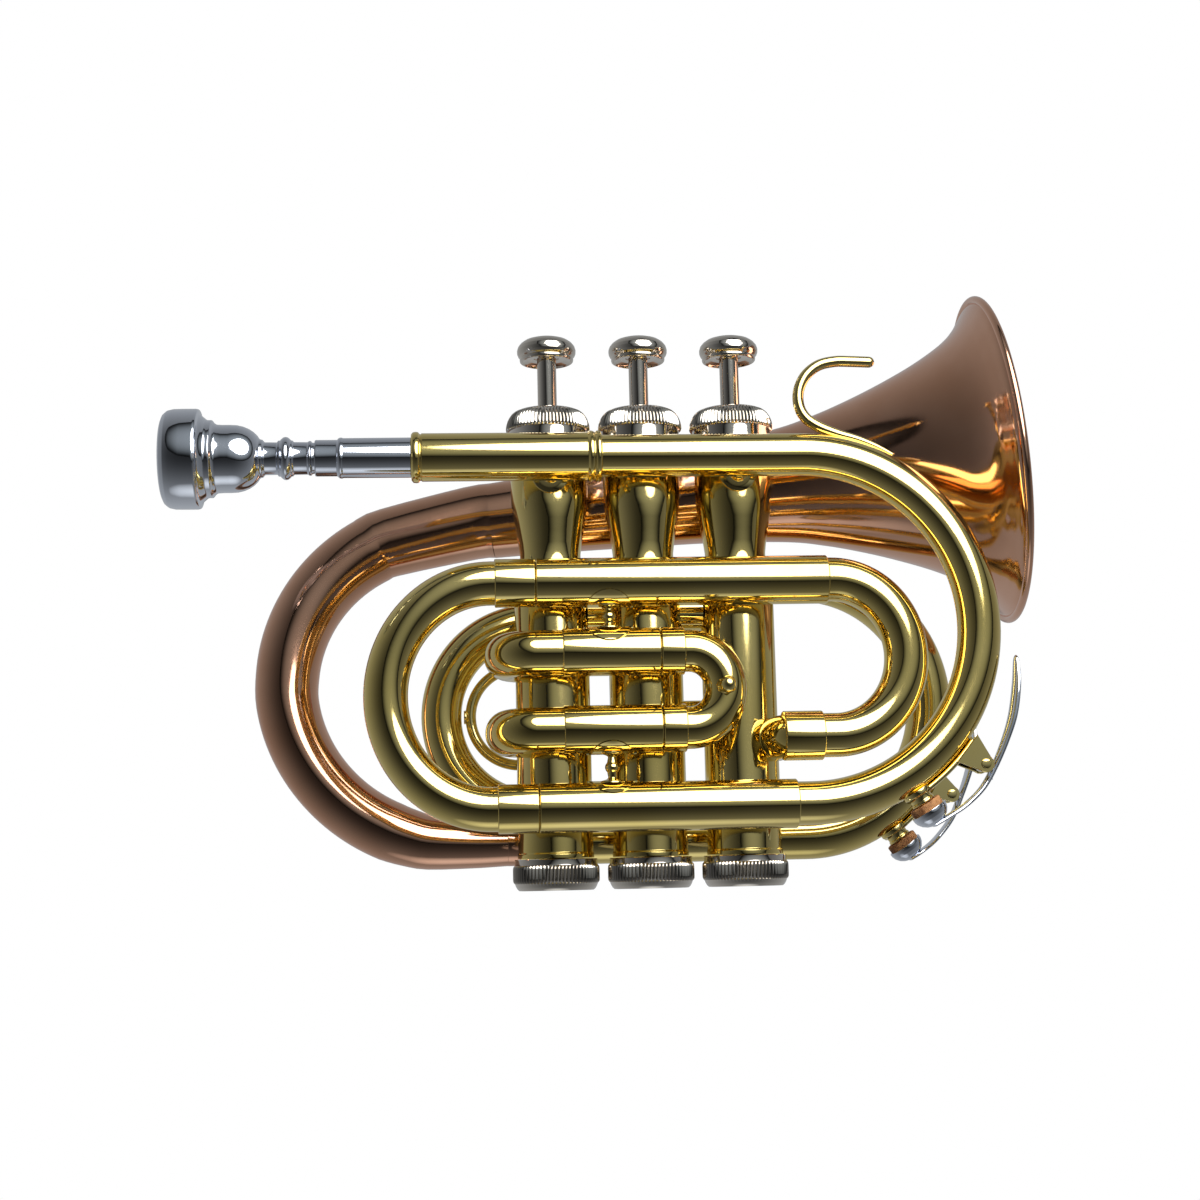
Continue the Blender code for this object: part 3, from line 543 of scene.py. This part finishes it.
def slide_one():
    """First slide: sleeves with elbows, ferrules, U bow and pull knob."""
    for name, z in (("upper", S1_TOP), ("lower", S1_LOW)):
        prof = [(5.4, -23.7), (6.15, -23.7), (SLIDE1_SLEEVE_R, -23.5), (SLIDE1_SLEEVE_R, 1.85), (6.15, 2.1),
                (5.4, 2.1)]
        sleeve = revolve("s", fillet(prof, 0.1, 2, True), (0, FRONT_Y, z), "X", True)
        pts = [(-22.0, FRONT_Y, z)]
        for x, y in arc(-31.0, -10.8, 7.2, -90, -180, 4):
            pts.append((x, y, z))
        for x, y in arc(-31.0, -7.2, 7.2, 180, 100, 4):
            pts.append((x, y, z))
        elbow = clear_of_piston(sweep("e", pts, 6.0, 0.6), VALVE_X[0])
        place(joined("slide1_sleeve_%s_fine" % name, [sleeve, elbow]), BRASS, "horn", "slide1_sleeve_" + name,
              "slide1_sleeve_" + name)
        prof = [(5.0, -22.0), (5.0, 2.2), (6.15, 2.25), (6.35, 2.5), (6.35, 8.3), (6.15, 8.55)]
        tube_x("slide1_leg_%s_fine" % name, prof, 4.4, FRONT_Y, z, BRASS, "first_slide", "slide1_leg_" + name, 0.1)
    pts = bow_path(7.6, 1, FRONT_Y, S1_TOP, S1_LOW, 2.2, 0.95)
    place(sweep("slide1_bow_fine", pts, 5.6, TUBE_WALL), BRASS, "first_slide", "slide1_bow", "slide1_bow")
    mid = (S1_TOP + S1_LOW) / 2
    prof = [(0.001, -5.0), (0.9, -4.85), (1.65, -4.35), (2.15, -3.6), (2.3, -2.75), (2.1, -1.9), (1.6, -1.2),
            (1.35, -0.9), (1.5, -0.4), (2.3, 0.1), (2.6, 0.8), (0.001, 0.9)]
    knob = revolve("slide1_knob_fine", prof, (19.0, FRONT_Y - 5.5, mid + 0.3), "Y", False, 40, None, 60)
    place(knob, BRASS_POLISHED, "first_slide", "slide1_knob", "slide1_knob")


def slide_two():
    """Second slide behind the middle valve."""
    for name, z in (("upper", S2_TOP), ("lower", S2_LOW)):
        prof = [(5.4, 9.0), (6.9, 9.0), (6.9, 11.2), (6.3, 11.6), (6.3, 24.8), (6.1, 25.0), (5.4, 25.0)]
        obj = revolve("slide2_sleeve_%s_fine" % name, fillet(prof, 0.15, 3, True), (0, 0, z), "Y", True)
        place(obj, BRASS, "horn", "slide2_sleeve_" + name, "slide2_sleeve_" + name)
    mid = (S2_TOP + S2_LOW) / 2
    bend = (S2_TOP - S2_LOW) / 2
    pts = [(0, 13.0, S2_TOP)] + [(0, a, b) for a, b in arc(26.5, mid, bend, 90, -90)] + [(0, 13.0, S2_LOW)]
    rings = [sweep("t", pts, 5.1, TUBE_WALL)]
    for z in (S2_TOP, S2_LOW):
        prof = [(5.0, 25.2), (6.2, 25.2), (6.2, 28.0), (5.0, 28.4)]
        rings.append(revolve("r", fillet(prof, 0.15, 3, True), (0, 0, z), "Y", True))
    place(joined("slide2_bow_fine", rings), BRASS, "second_slide", "slide2_bow", "slide2_bow")


def slide_three():
    """Third slide behind the valves, with its finger ring."""
    for name, z in (("upper", S3_TOP), ("lower", S3_LOW)):
        pts = [(25.6, 9.0, z)]
        for x, y in arc(19.2, SLIDE3_Y - 6.4, 6.4, 0, 90, 4):
            pts.append((x, y, z))
        pts += line((18.0, SLIDE3_Y, z), (-21.6, SLIDE3_Y, z)) + [(-21.6, SLIDE3_Y, z)]
        place(sweep("slide3_sleeve_%s_fine" % name, pts, 5.95, 0.6), BRASS, "horn", "slide3_sleeve_" + name,
              "slide3_sleeve_" + name)
        prof = [(5.7, -28.75), (5.85, -28.55), (5.85, -22.1), (5.7, -21.9), (5.0, -21.8), (5.0, 12.0)]
        tube_x("slide3_leg_%s_fine" % name, prof, 4.4, SLIDE3_Y, z, BRASS, "third_slide", "slide3_leg_" + name, 0.1)
    pts = bow_path(-27.8, -1, SLIDE3_Y, S3_TOP, S3_LOW, 2.1)
    place(sweep("slide3_bow_fine", pts, 5.6, TUBE_WALL), BRASS, "third_slide", "slide3_bow", "slide3_bow")
    mid = (S3_TOP + S3_LOW) / 2
    pts = [(x, SLIDE3_Y, z) for x, z in arc(-34.4, mid, 13.6, 180, 540, 4)][:-1]
    ring = torus("g", pts, 1.5)
    prof = [(0.001, -1.0), (1.9, -1.0), (1.9, -0.2), (1.2, 0.4), (1.2, 1.4), (0.001, 1.4)]
    stay = revolve("s", fillet(prof, 0.2, 3), (-48.9, SLIDE3_Y, mid), "X", False, 24)
    place(joined("finger_ring_fine", [ring, stay]), BRASS_POLISHED, "third_slide", "finger_ring", "finger_ring")


# ---------------------------------------------------------------- bell

def bell_axis(s):
    """Point on the bell's axis, s millimetres from the rim plane."""
    return (BELL_RIM[0] + s * math.cos(BELL_TILT) * math.cos(BELL_YAW),
            BELL_RIM[1] - s * math.cos(BELL_TILT) * math.sin(BELL_YAW),
            BELL_RIM[2] + s * math.sin(BELL_TILT))


def bell():
    """Exit tube and back bow, copper ferrule, conical copper bow, flare and rolled rim."""
    pts = [(VALVE_X[0], 9.0, EXIT_Z)]
    for x, y in arc(VALVE_X[0] + 7.0, BELL_Y - 7.0, 7.0, 180, 90, 4):
        pts.append((x, y, EXIT_Z))
    pts += line((-17.0, BELL_Y, EXIT_Z), (BACK_CX, BELL_Y, EXIT_Z))
    for x, z in arc(BACK_CX, BACK_MID, BACK_BEND, 90, -90, 2.5):
        pts.append((x, BELL_Y, z))
    pts += line((BACK_CX - 2.0, BELL_Y, TAIL_Z), (-36.0, BELL_Y, TAIL_Z)) + [(-36.0, BELL_Y, TAIL_Z)]
    place(sweep("back_bow_tail_fine", pts, BACK_TUBE_R, TUBE_WALL), BRASS, "horn", "back_bow_tail", "back_bow_tail")
    tube_x("bell_ferrule_fine", [(6.3, -38.2), (6.45, -38.0), (6.45, -34.6), (6.3, -34.4)], 5.6, BELL_Y, TAIL_Z,
           COPPER, "horn", "bell_ferrule", 0.1)
    raw = [(-36.5, BELL_Y, TAIL_Z), (-42.0, BELL_Y, TAIL_Z), (-48.0, BELL_Y, TAIL_Z + 0.1)]
    for i in range(1, 23):
        turn = i * 173.0 / 24
        a = math.radians(-90 - turn)
        inward = math.sin(math.radians(2 * turn)) if turn < 85 else 0.3 - 0.13 * max(0.0, 87.5 - turn)
        raw.append((COPPER_CENTRE[0] + (COPPER_REACH[0] - inward) * math.cos(a),
                    BELL_Y + BOW_SWAY * math.sin(math.radians(turn / 2)) ** 2,
                    COPPER_CENTRE[1] + (COPPER_REACH[1] - inward) * math.sin(a)))
    raw += [bell_axis(-152.0), bell_axis(-145.0)]
    path = spline(raw, 3)
    run = [0.0]
    for i in range(1, len(path)):
        run.append(run[-1] + math.dist(path[i], path[i - 1]))
    radii = []
    for r in run:
        t = r / run[-1]
        radii.append(6.35 + 2.05 * min(1.0, t / 0.2) ** 1.1 + 2.5 * (max(0.0, t - 0.2) / 0.8) ** 1.6)
    place(sweep("bell_bow_fine", path, 10.0, 0.8, radii, 56), COPPER, "horn", "bell_bow", "bell_bow")
    marks = [(-146.0, 10.9), (-126.0, 11.7), (-104.0, 12.9), (-82.0, 14.3), (-61.0, 16.6), (-50.0, 19.0),
             (-40.0, 22.0), (-30.0, 25.6), (-20.0, 29.8), (-12.5, 33.7), (-8.0, 36.7), (-5.0, 39.6),
             (-2.8, 42.6), (-1.2, 45.0), (0.0, BELL_R)]
    fine = spline([(h, r, 0) for h, r in marks], 7)
    outer = [(r, h) for h, r, _ in fine]
    inner = [(r - 0.75, h + 0.25) for r, h in reversed(outer[2:-2])]
    tilt = Matrix.Rotation(-BELL_YAW, 4, "Z") @ Matrix.Rotation(math.radians(90) - BELL_TILT, 4, "Y")
    obj = revolve("bell_fine", outer + inner, BELL_RIM, tilt, True, 128, None, 70)
    place(obj, COPPER, "horn", "bell", "bell")
    rim = []
    for i in range(128):
        a = 2 * math.pi * i / 128
        p = tilt @ Vector(((BELL_R + 0.55) * math.cos(a), (BELL_R + 0.55) * math.sin(a), 0.3))
        rim.append((p.x + BELL_RIM[0], p.y + BELL_RIM[1], p.z + BELL_RIM[2]))
    place(torus("bell_rim_fine", rim, 1.15, 24), COPPER, "horn", "bell_rim_wire", "bell_rim_wire")


# ---------------------------------------------------------------- valves

CAP_RIDGES = 72
CAP_ROUND = 6 * CAP_RIDGES
CAP_RIDGE_DEPTH = 0.42
CAP_SIDE_R = 10.05


def knurl(low, high):
    """Ripple that is deep only between two heights on a cap's side."""
    def rule(r, h):
        deep = low <= h <= high and r > CAP_SIDE_R
        return CAP_RIDGES, CAP_RIDGE_DEPTH if deep else 0.0
    return rule


def valves():
    """Casings, caps, stems with buttons, and the hidden pistons and springs."""
    for i, vx in enumerate(VALVE_X):
        n = i + 1
        body = "piston_%d_body" % n
        outer = [(10.9, 119.0), (10.9, 117.2), (10.6, 116.8), (10.6, 110.0), (10.45, 105.5), (10.3, 103.4),
                 (9.75, 100.2), (9.2, 96.9), (8.65, 93.6), (8.35, 91.2), (8.35, 89.0), (8.6, 86.5), (9.2, 83.5),
                 (9.8, 80.5), (10.05, 78.0), (10.1, 75.0), (10.1, 10.0), (10.3, 9.6), (10.3, 8.6)]
        loop = fillet(outer, 0.3, 3) + [(7.85, 8.6), (7.85, 119.0)]
        shape = [revolve("c", loop, (vx, 0, 0), "Z", True, 72)]
        if i == 1:
            for side, height in ((-1, 74.5), (1, 74.5), (1, 46.0)):
                lo, hi = sorted((side * 9.0, side * 15.8))
                prof = [(0.001, lo), (4.6, lo), (4.6, hi), (0.001, hi)]
                shape.append(revolve("k", prof, (0, 1.0, height), "X", False, 32))
        place(joined("casing_%d_fine" % n, shape), BRASS, "horn", "casing_%d" % n, "casing_%d" % n)
        prof = [(3.15, 128.4), (3.15, 131.5), (3.4, 131.7), (7.4, 131.7), (8.6, 131.5), (9.5, 131.1), (10.1, 130.6),
                (10.3, 130.35), (10.75, 129.7), (11.15, 128.9), (11.45, 128.0), (11.62, 127.1), (11.65, 126.5),
                (11.55, 126.1), (11.2, 125.8), (10.9, 125.7), (10.85, 125.2), (10.85, 119.3), (7.85, 119.3),
                (7.85, 128.4)]
        obj = revolve("top_cap_%d_fine" % n, prof, (vx, 0, 0), "Z", True, CAP_ROUND, knurl(126.05, 130.7), 30)
        place(obj, NICKEL, "horn", "top_cap_%d" % n, "top_cap_%d" % n)
        prof = [(7.4, 2.6), (7.4, 8.35), (11.0, 8.35), (11.15, 8.15), (11.15, 7.0), (11.2, 6.7), (11.45, 6.5),
                (11.6, 6.1), (11.65, 5.5), (11.65, 3.1), (11.6, 2.5), (11.4, 2.1), (11.15, 1.9), (10.9, 1.2),
                (10.5, 0.5), (10.0, 0.05), (9.2, 0.0), (8.9, 0.3), (8.8, 0.9), (2.2, 0.9), (2.1, 0.0),
                (0.001, 0.0), (0.001, 2.6)]
        obj = revolve("bottom_cap_%d_fine" % n, prof, (vx, 0, 0), "Z", True, CAP_ROUND, knurl(2.0, 6.6), 30)
        place(obj, NICKEL, "horn", "bottom_cap_%d" % n, "bottom_cap_%d" % n)
        prof = [(0.001, 152.6), (2.5, 152.55), (4.6, 152.3), (6.1, 151.8), (7.2, 151.0), (7.9, 150.1), (8.2, 149.1),
                (8.15, 148.2), (7.85, 147.5), (7.45, 147.1), (7.3, 146.95), (7.45, 146.8), (7.5, 146.5), (7.4, 146.0),
                (7.2, 145.8), (7.0, 145.85), (6.7, 146.3), (5.4, 146.9), (3.6, 147.1), (2.65, 146.9), (2.65, 97.3),
                (0.001, 97.3)]
        obj = revolve("stem_%d_fine" % n, fillet(prof, 0.12, 2), (vx, 0, 0), "Z", False, 64, None, 34)
        place(obj, NICKEL, body, "stem_%d" % n, "stem_%d" % n)
        for part, mat in (("piston_%d" % n, NICKEL), ("valve_spring_%d" % n, STEEL)):
            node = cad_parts[part]
            node.data.materials.clear()
            node.data.materials.append(mat)


# ---------------------------------------------------------------- fittings

def saddle(name, tube_z, tube_r, side, centre_z, disc_r=6.6):
    """A round flange wrapped on the front of a tube; side is -1 for its underside, 1 for its top."""
    verts = []
    faces = []
    cols = 28
    rows = 12
    for i in range(cols + 1):
        x = disc_r * math.sin(math.radians(-90 + 180 * i / cols))
        reach = centre_z - side * math.sqrt(max(disc_r ** 2 - x * x, 0.0))
        s = max(-1.0, min(1.0, (reach - tube_z) / (tube_r + 0.35)))
        far = math.asin(s)
        start = side * math.radians(112)
        far = max(far, start) if side < 0 else min(far, start)
        for j in range(rows + 1):
            a = start + (far - start) * j / rows
            for extra in (0.35, -0.1):
                r = tube_r + extra
                verts.append((BRACE_X + x, FRONT_Y - r * math.cos(a), tube_z + r * math.sin(a)))
    step = (rows + 1) * 2
    for i in range(cols):
        for j in range(rows):
            for e in (0, 1):
                q = i * step + j * 2 + e
                faces.append((q, q + 2, q + step + 2, q + step))
        q = i * step + rows * 2
        faces.append((q, q + 1, q + step + 1, q + step))
        q = i * step
        faces.append((q, q + 1, q + step + 1, q + step))
    return new_mesh(name, verts, faces, 35)


def fittings():
    """Braces, pads and the finger hook."""
    for name, low_tube, low_r, high_tube, high_r in (("brace_upper", S1_TOP, SLIDE1_SLEEVE_R, UPPER_Z, SLEEVE_R),
                                                     ("brace_lower", LOWER_Z, SLEEVE_R, S1_LOW, SLIDE1_SLEEVE_R)):
        low = low_tube + low_r
        high = high_tube - high_r
        mid = (low + high) / 2
        h = (high - low) / 2
        prof = [(0.001, h + 0.3), (3.0, h + 0.3), (2.6, h - 0.3), (1.5, h - 0.7), (1.05, h - 1.0), (1.35, 1.2),
                (1.75, 0.75), (1.95, 0.0), (1.75, -0.75), (1.35, -1.2), (1.1, -h + 1.0), (1.7, -h + 0.6),
                (3.2, -h + 0.2), (3.4, -h - 0.3), (0.001, -h - 0.3)]
        post = revolve("p", fillet(prof, 0.2, 3), (BRACE_X, FRONT_Y - 1.5, mid), "Z", False, 36)
        up = saddle("u", high_tube, high_r, -1, mid)
        dn = saddle("d", low_tube, low_r, 1, mid)
        place(joined(name + "_fine", [post, up, dn]), BRASS_POLISHED, "horn", name, name)
    for name, vx in (("lead_brace_1", VALVE_X[0]), ("lead_brace_3", VALVE_X[2])):
        prof = [(0.001, -13.4), (2.0, -13.3), (2.4, -12.0), (3.6, -11.3), (5.0, -11.0), (5.1, -10.6),
                (0.001, -10.4)]
        obj = revolve(name + "_fine", fillet(prof, 0.2, 3), (vx, 0, 111.6), "Y", False, 40)
        place(obj, BRASS_POLISHED, "horn", name, name)
    out = BIG_BEND + BIG_TUBE_R
    path = [(61.5, 140.6), (56.5, 140.8), (52.0, 140.8), (47.5, 139.7), (43.9, 136.8), (41.9, 132.6), (41.9, 128.4),
            (43.6, 125.1), (47.0, 122.7)]
    radii = [1.5] * len(path)
    for x, r in ((52.0, 1.25), (57.0, 1.05), (62.0, 0.85), (66.6, 0.6)):
        a = math.acos((x - BIG_CX) / out)
        grow = (out + r * 0.8) / out
        path.append((BIG_CX + (x - BIG_CX) * grow, BIG_MID + out * math.sin(a) * grow))
        radii.append(r)
    per = 8
    fine = spline([(x, FRONT_Y, z) for x, z in path], per)
    rr = []
    for i in range(len(fine)):
        t = i / per
        k = min(int(t), len(radii) - 2)
        rr.append(radii[k] + (radii[k + 1] - radii[k]) * (t - k))
    place(sweep("finger_hook_fine", fine, 1.5, 0.0, rr, 28), BRASS_POLISHED, "horn", "finger_hook", "finger_hook")


def water_key(number, centre, outer, y, pivot_deg, pivot_h, cork_deg, lever_marks, base_from, base_to):
    """Water key: base strip, ears, screw and nipple on the bow; lever, cup and cork that turn.

    Angles are in degrees round the bow's centre. Each lever mark is (angle, height off the tube, half thickness,
    half width).
    """
    body = "water_key_%d" % number
    shape = []
    mids = []
    count = 14
    for i in range(count + 1):
        d = base_from + (base_to - base_from) * i / count
        p = polar(centre, outer + 0.75, d, y)
        mids.append((p[0], p[2]))
    shape.append(band("b", mids, [0.85] * (count + 1), [2.6] * (count + 1), y))
    px, _, pz = polar(centre, outer + pivot_h, pivot_deg, y)
    foot_a = polar(centre, outer + 0.6, pivot_deg + 5.2, y)
    foot_b = polar(centre, outer + 0.6, pivot_deg - 4.6, y)
    outline = [(foot_a[0], foot_a[2])]
    base = math.radians(pivot_deg)
    for k in range(13):
        q = base + math.radians(90 - 180 * k / 12)
        outline.append((px + 2.3 * math.cos(q), pz + 2.3 * math.sin(q)))
    outline.append((foot_b[0], foot_b[2]))
    for lo, hi in ((-3.6, -2.6), (2.6, 3.6)):
        shape.append(prism("e", outline, y + lo, y + hi))
    screw = [(0.001, -4.0), (1.25, -4.0), (1.35, -3.8), (1.35, -3.5), (0.8, -3.4), (0.8, 3.6), (0.001, 3.6)]
    shape.append(revolve("s", fillet(screw, 0.1, 2), (px, y, pz), "Y", False, 24))
    axis = Matrix.Rotation(math.radians(90) - math.radians(cork_deg), 4, "Y")
    start = polar(centre, outer, cork_deg, y)
    nipple = [(0.001, -0.6), (4.0, -0.6), (4.0, 0.7), (3.1, 1.0), (3.0, 2.4), (3.3, 2.7), (3.3, 3.3), (0.001, 3.3)]
    shape.append(revolve("n", fillet(nipple, 0.2, 3), start, axis, False, 36))
    name = "water_key_saddle_%d" % number
    place(joined(name + "_fine", shape), BRASS_POLISHED, "horn", name, name)
    curve = spline([polar(centre, outer + h, d, y) for d, h, _, _ in lever_marks], 8)
    sizes = spline([(t, w, 0) for _, _, t, w in lever_marks], 8)
    leaf = band("l", [(p[0], p[2]) for p in curve], [p[0] for p in sizes], [p[1] for p in sizes], y)
    knuckle = revolve("k", [(0.001, -2.4), (1.9, -2.4), (1.9, 2.4), (0.001, 2.4)], (px, y, pz), "Y", False, 28)
    web = polar(centre, outer + pivot_h + 2.6, pivot_deg - 1.0, y)
    outline = [(px - 0.2, pz + 1.6), (px + 1.4, pz - 1.2), (web[0] + 0.8, web[2] - 1.6), (web[0] + 0.6, web[2] + 2.6)]
    arm = prism("a", outline, y - 1.6, y + 1.6)
    dome = [(0.001, 5.9), (4.6, 5.9), (4.85, 5.4), (5.0, 5.5), (4.95, 6.4), (4.6, 7.4), (3.8, 8.5), (2.7, 9.3),
            (1.4, 9.8), (0.001, 9.9)]
    cup = revolve("c", fillet(dome, 0.1, 2), start, axis, False, 44, None, 50)
    name = "water_key_lever_%d" % number
    place(joined(name + "_fine", [leaf, knuckle, arm, cup]), SILVER, body, name, name)
    name = "water_key_cork_%d" % number
    disc = [(0.001, 3.5), (4.3, 3.5), (4.45, 3.8), (4.4, 6.0), (0.001, 6.0)]
    cork = revolve(name + "_fine", fillet(disc, 0.25, 3), start, axis, False, 44)
    place(cork, CORK, body, name, name)


mouthpiece()
lead()
main_tubes()
slide_one()
slide_two()
slide_three()
bell()
valves()
fittings()
water_key(1, (BIG_CX, BIG_MID), BIG_BEND + BIG_TUBE_R, FRONT_Y, -39.3, 6.8, -58.0,
          [(-59.0, 9.6, 0.5, 2.6), (-55.0, 9.9, 0.55, 2.8), (-50.0, 10.5, 0.6, 2.6), (-44.0, 10.6, 0.65, 2.4),
           (-38.0, 9.6, 0.7, 2.4), (-31.0, 8.4, 0.75, 2.8), (-24.0, 7.4, 0.8, 3.2), (-16.0, 5.9, 0.75, 3.0),
           (-10.0, 4.7, 0.5, 1.8), (-8.6, 4.4, 0.15, 0.5)], -61.5, -36.0)
water_key(2, (BACK_CX, BACK_MID), BACK_BEND + BACK_TUBE_R, BELL_Y, -31.8, 5.8, -54.7,
          [(-56.0, 9.6, 0.5, 2.6), (-52.0, 9.9, 0.55, 2.8), (-46.0, 10.2, 0.6, 2.6), (-38.0, 9.9, 0.65, 2.4),
           (-30.0, 8.8, 0.7, 2.4), (-22.0, 8.2, 0.75, 2.8), (-15.0, 7.8, 0.8, 3.0), (-9.0, 7.2, 0.6, 2.0),
           (-6.0, 6.9, 0.2, 0.6)], -59.0, -28.0)


# ---------------------------------------------------------------- set and light

def emitter(name, colour, strength):
    """A plain glowing surface."""
    mat = bpy.data.materials.new(name)
    mat.use_nodes = True
    nt = mat.node_tree
    nt.nodes.clear()
    out = nt.nodes.new("ShaderNodeOutputMaterial")
    glow = nt.nodes.new("ShaderNodeEmission")
    glow.inputs["Color"].default_value = (*colour, 1)
    glow.inputs["Strength"].default_value = strength
    nt.links.new(glow.outputs["Emission"], out.inputs["Surface"])
    return mat


def sheet_mesh(name, corners, mat):
    """A flat card from four corners in metres."""
    mesh = bpy.data.meshes.new(name)
    mesh.from_pydata(corners, [], [(0, 1, 2, 3)])
    obj = bpy.data.objects.new(name, mesh)
    bpy.context.scene.collection.objects.link(obj)
    obj.data.materials.append(mat)
    return obj


def only_camera(obj):
    """Seen by the camera but left out of reflections and shadows."""
    obj.visible_glossy = False
    obj.visible_diffuse = False
    obj.visible_transmission = False
    obj.visible_shadow = False
    return obj


def lamp(name, where, target, size, power):
    """A soft white disc lamp aimed at a point, in metres."""
    data = bpy.data.lights.new(name, "AREA")
    data.shape = "DISK"
    data.size = size
    data.energy = power
    obj = bpy.data.objects.new(name, data)
    bpy.context.scene.collection.objects.link(obj)
    obj.location = where
    d = Vector(target) - Vector(where)
    obj.rotation_euler = d.to_track_quat("-Z", "Y").to_euler()
    obj.visible_camera = False
    return obj


def halo(where, target, radius, inner, strength):
    """A dim disc behind the lamp, brightest beside it and fading outwards."""
    mesh = bpy.data.meshes.new("lamp_halo")
    count = 48
    turns = [2 * math.pi * k / count for k in range(count)]
    mesh.from_pydata([(radius * math.cos(a), radius * math.sin(a), 0.0) for a in turns], [], [tuple(range(count))])
    obj = bpy.data.objects.new("lamp_halo", mesh)
    bpy.context.scene.collection.objects.link(obj)
    d = Vector(target) - Vector(where)
    obj.rotation_euler = d.to_track_quat("-Z", "Y").to_euler()
    obj.location = Vector(where) - d.normalized() * 0.01
    mat = bpy.data.materials.new("lamp_halo_glow")
    mat.use_nodes = True
    nt = mat.node_tree
    nt.nodes.clear()
    out = nt.nodes.new("ShaderNodeOutputMaterial")
    glow = nt.nodes.new("ShaderNodeEmission")
    tex = nt.nodes.new("ShaderNodeTexCoord")
    size = nt.nodes.new("ShaderNodeVectorMath")
    size.operation = "LENGTH"
    ramp = nt.nodes.new("ShaderNodeMapRange")
    ramp.interpolation_type = "SMOOTHSTEP"
    ramp.inputs["From Min"].default_value = inner
    ramp.inputs["From Max"].default_value = radius
    ramp.inputs["To Min"].default_value = strength
    ramp.inputs["To Max"].default_value = 0.0
    nt.links.new(tex.outputs["Object"], size.inputs[0])
    nt.links.new(size.outputs["Value"], ramp.inputs["Value"])
    nt.links.new(ramp.outputs["Result"], glow.inputs["Strength"])
    glow.inputs["Color"].default_value = (0.92, 1.0, 1.04, 1)
    nt.links.new(glow.outputs["Emission"], out.inputs["Surface"])
    obj.data.materials.append(mat)
    obj.visible_camera = False
    obj.visible_shadow = False


def world_ramp(tree, direction, axis, stops):
    """Brightness by direction along one axis: stops are (direction -1 to 1, grey)."""
    fit = tree.nodes.new("ShaderNodeMapRange")
    fit.inputs["From Min"].default_value = -1.0
    fit.inputs["From Max"].default_value = 1.0
    tree.links.new(direction.outputs[axis], fit.inputs["Value"])
    ramp = tree.nodes.new("ShaderNodeValToRGB")
    marks = ramp.color_ramp.elements
    for k, (at, grey) in enumerate(stops):
        mark = marks[k] if k < 2 else marks.new(0.5)
        mark.position = (at + 1) / 2
        mark.color = (grey * 0.96, grey, grey * 1.04, 1)
    tree.links.new(fit.outputs["Result"], ramp.inputs["Fac"])
    return ramp


def studio_world():
    """Dark in front, grey behind and just under the horn, plain white to the camera."""
    world = bpy.data.worlds.new("studio")
    bpy.context.scene.world = world
    world.use_nodes = True
    tree = world.node_tree
    tree.nodes.clear()
    out = tree.nodes.new("ShaderNodeOutputWorld")
    mix = tree.nodes.new("ShaderNodeMixShader")
    path = tree.nodes.new("ShaderNodeLightPath")
    tex = tree.nodes.new("ShaderNodeTexCoord")
    direction = tree.nodes.new("ShaderNodeSeparateXYZ")
    tree.links.new(tex.outputs["Generated"], direction.inputs[0])
    behind = world_ramp(tree, direction, "Y", [(-1.0, 0.018), (0.22, 0.018), (0.62, 0.26), (1.0, 0.42)])
    below = world_ramp(tree, direction, "Z", [(-1.0, 0.60), (-0.985, 0.42), (-0.93, 0.0)])
    both = tree.nodes.new("ShaderNodeVectorMath")
    both.operation = "ADD"
    tree.links.new(behind.outputs["Color"], both.inputs[0])
    tree.links.new(below.outputs["Color"], both.inputs[1])
    dark = tree.nodes.new("ShaderNodeBackground")
    tree.links.new(both.outputs["Vector"], dark.inputs["Color"])
    white = tree.nodes.new("ShaderNodeBackground")
    white.inputs["Color"].default_value = (1, 1, 1, 1)
    tree.links.new(path.outputs["Is Camera Ray"], mix.inputs["Fac"])
    tree.links.new(dark.outputs["Background"], mix.inputs[1])
    tree.links.new(white.outputs["Background"], mix.inputs[2])
    tree.links.new(mix.outputs["Shader"], out.inputs["Surface"])


def photo_camera():
    """The photograph's viewpoint: just over half a metre in front, low, looking slightly up."""
    data = bpy.data.cameras.new("photo_camera")
    data.sensor_fit = "HORIZONTAL"
    data.sensor_width = 36.0
    data.lens = 57.62
    data.clip_start = 0.01
    camera = bpy.data.objects.new("photo_camera", data)
    bpy.context.scene.collection.objects.link(camera)
    forward = Vector((0.06850, 0.98715, 0.14435)).normalized()
    right = Vector((0.99757, -0.06590, -0.02275)).normalized()
    up = right.cross(forward).normalized()
    camera.matrix_world = Matrix((
        (right.x, up.x, -forward.x, -0.04830),
        (right.y, up.y, -forward.y, -0.52090),
        (right.z, up.z, -forward.z, 0.00247),
        (0, 0, 0, 1)))
    bpy.context.scene.camera = camera


FLOOR_Z = -0.10
FLOOR_HALF = 4.0
corners = [(x * FLOOR_HALF, y * FLOOR_HALF, FLOOR_Z) for x, y in ((-1, -1), (1, -1), (1, 1), (-1, 1))]
only_camera(sheet_mesh("floor", corners, emitter("pale_floor", (1.0, 1.0, 1.0), 1.0)))

KEY_AT = (0.17, -0.42, 0.40)
KEY_AIM = (0.0, 0.0, 0.07)
lamp("key_softbox", KEY_AT, KEY_AIM, 0.60, 3.7)
halo(KEY_AT, KEY_AIM, 0.72, 0.30, 0.34)
studio_world()
photo_camera()

view = bpy.context.scene.view_settings
view.view_transform = "Standard"
view.look = "None"

bpy.context.view_layer.update()
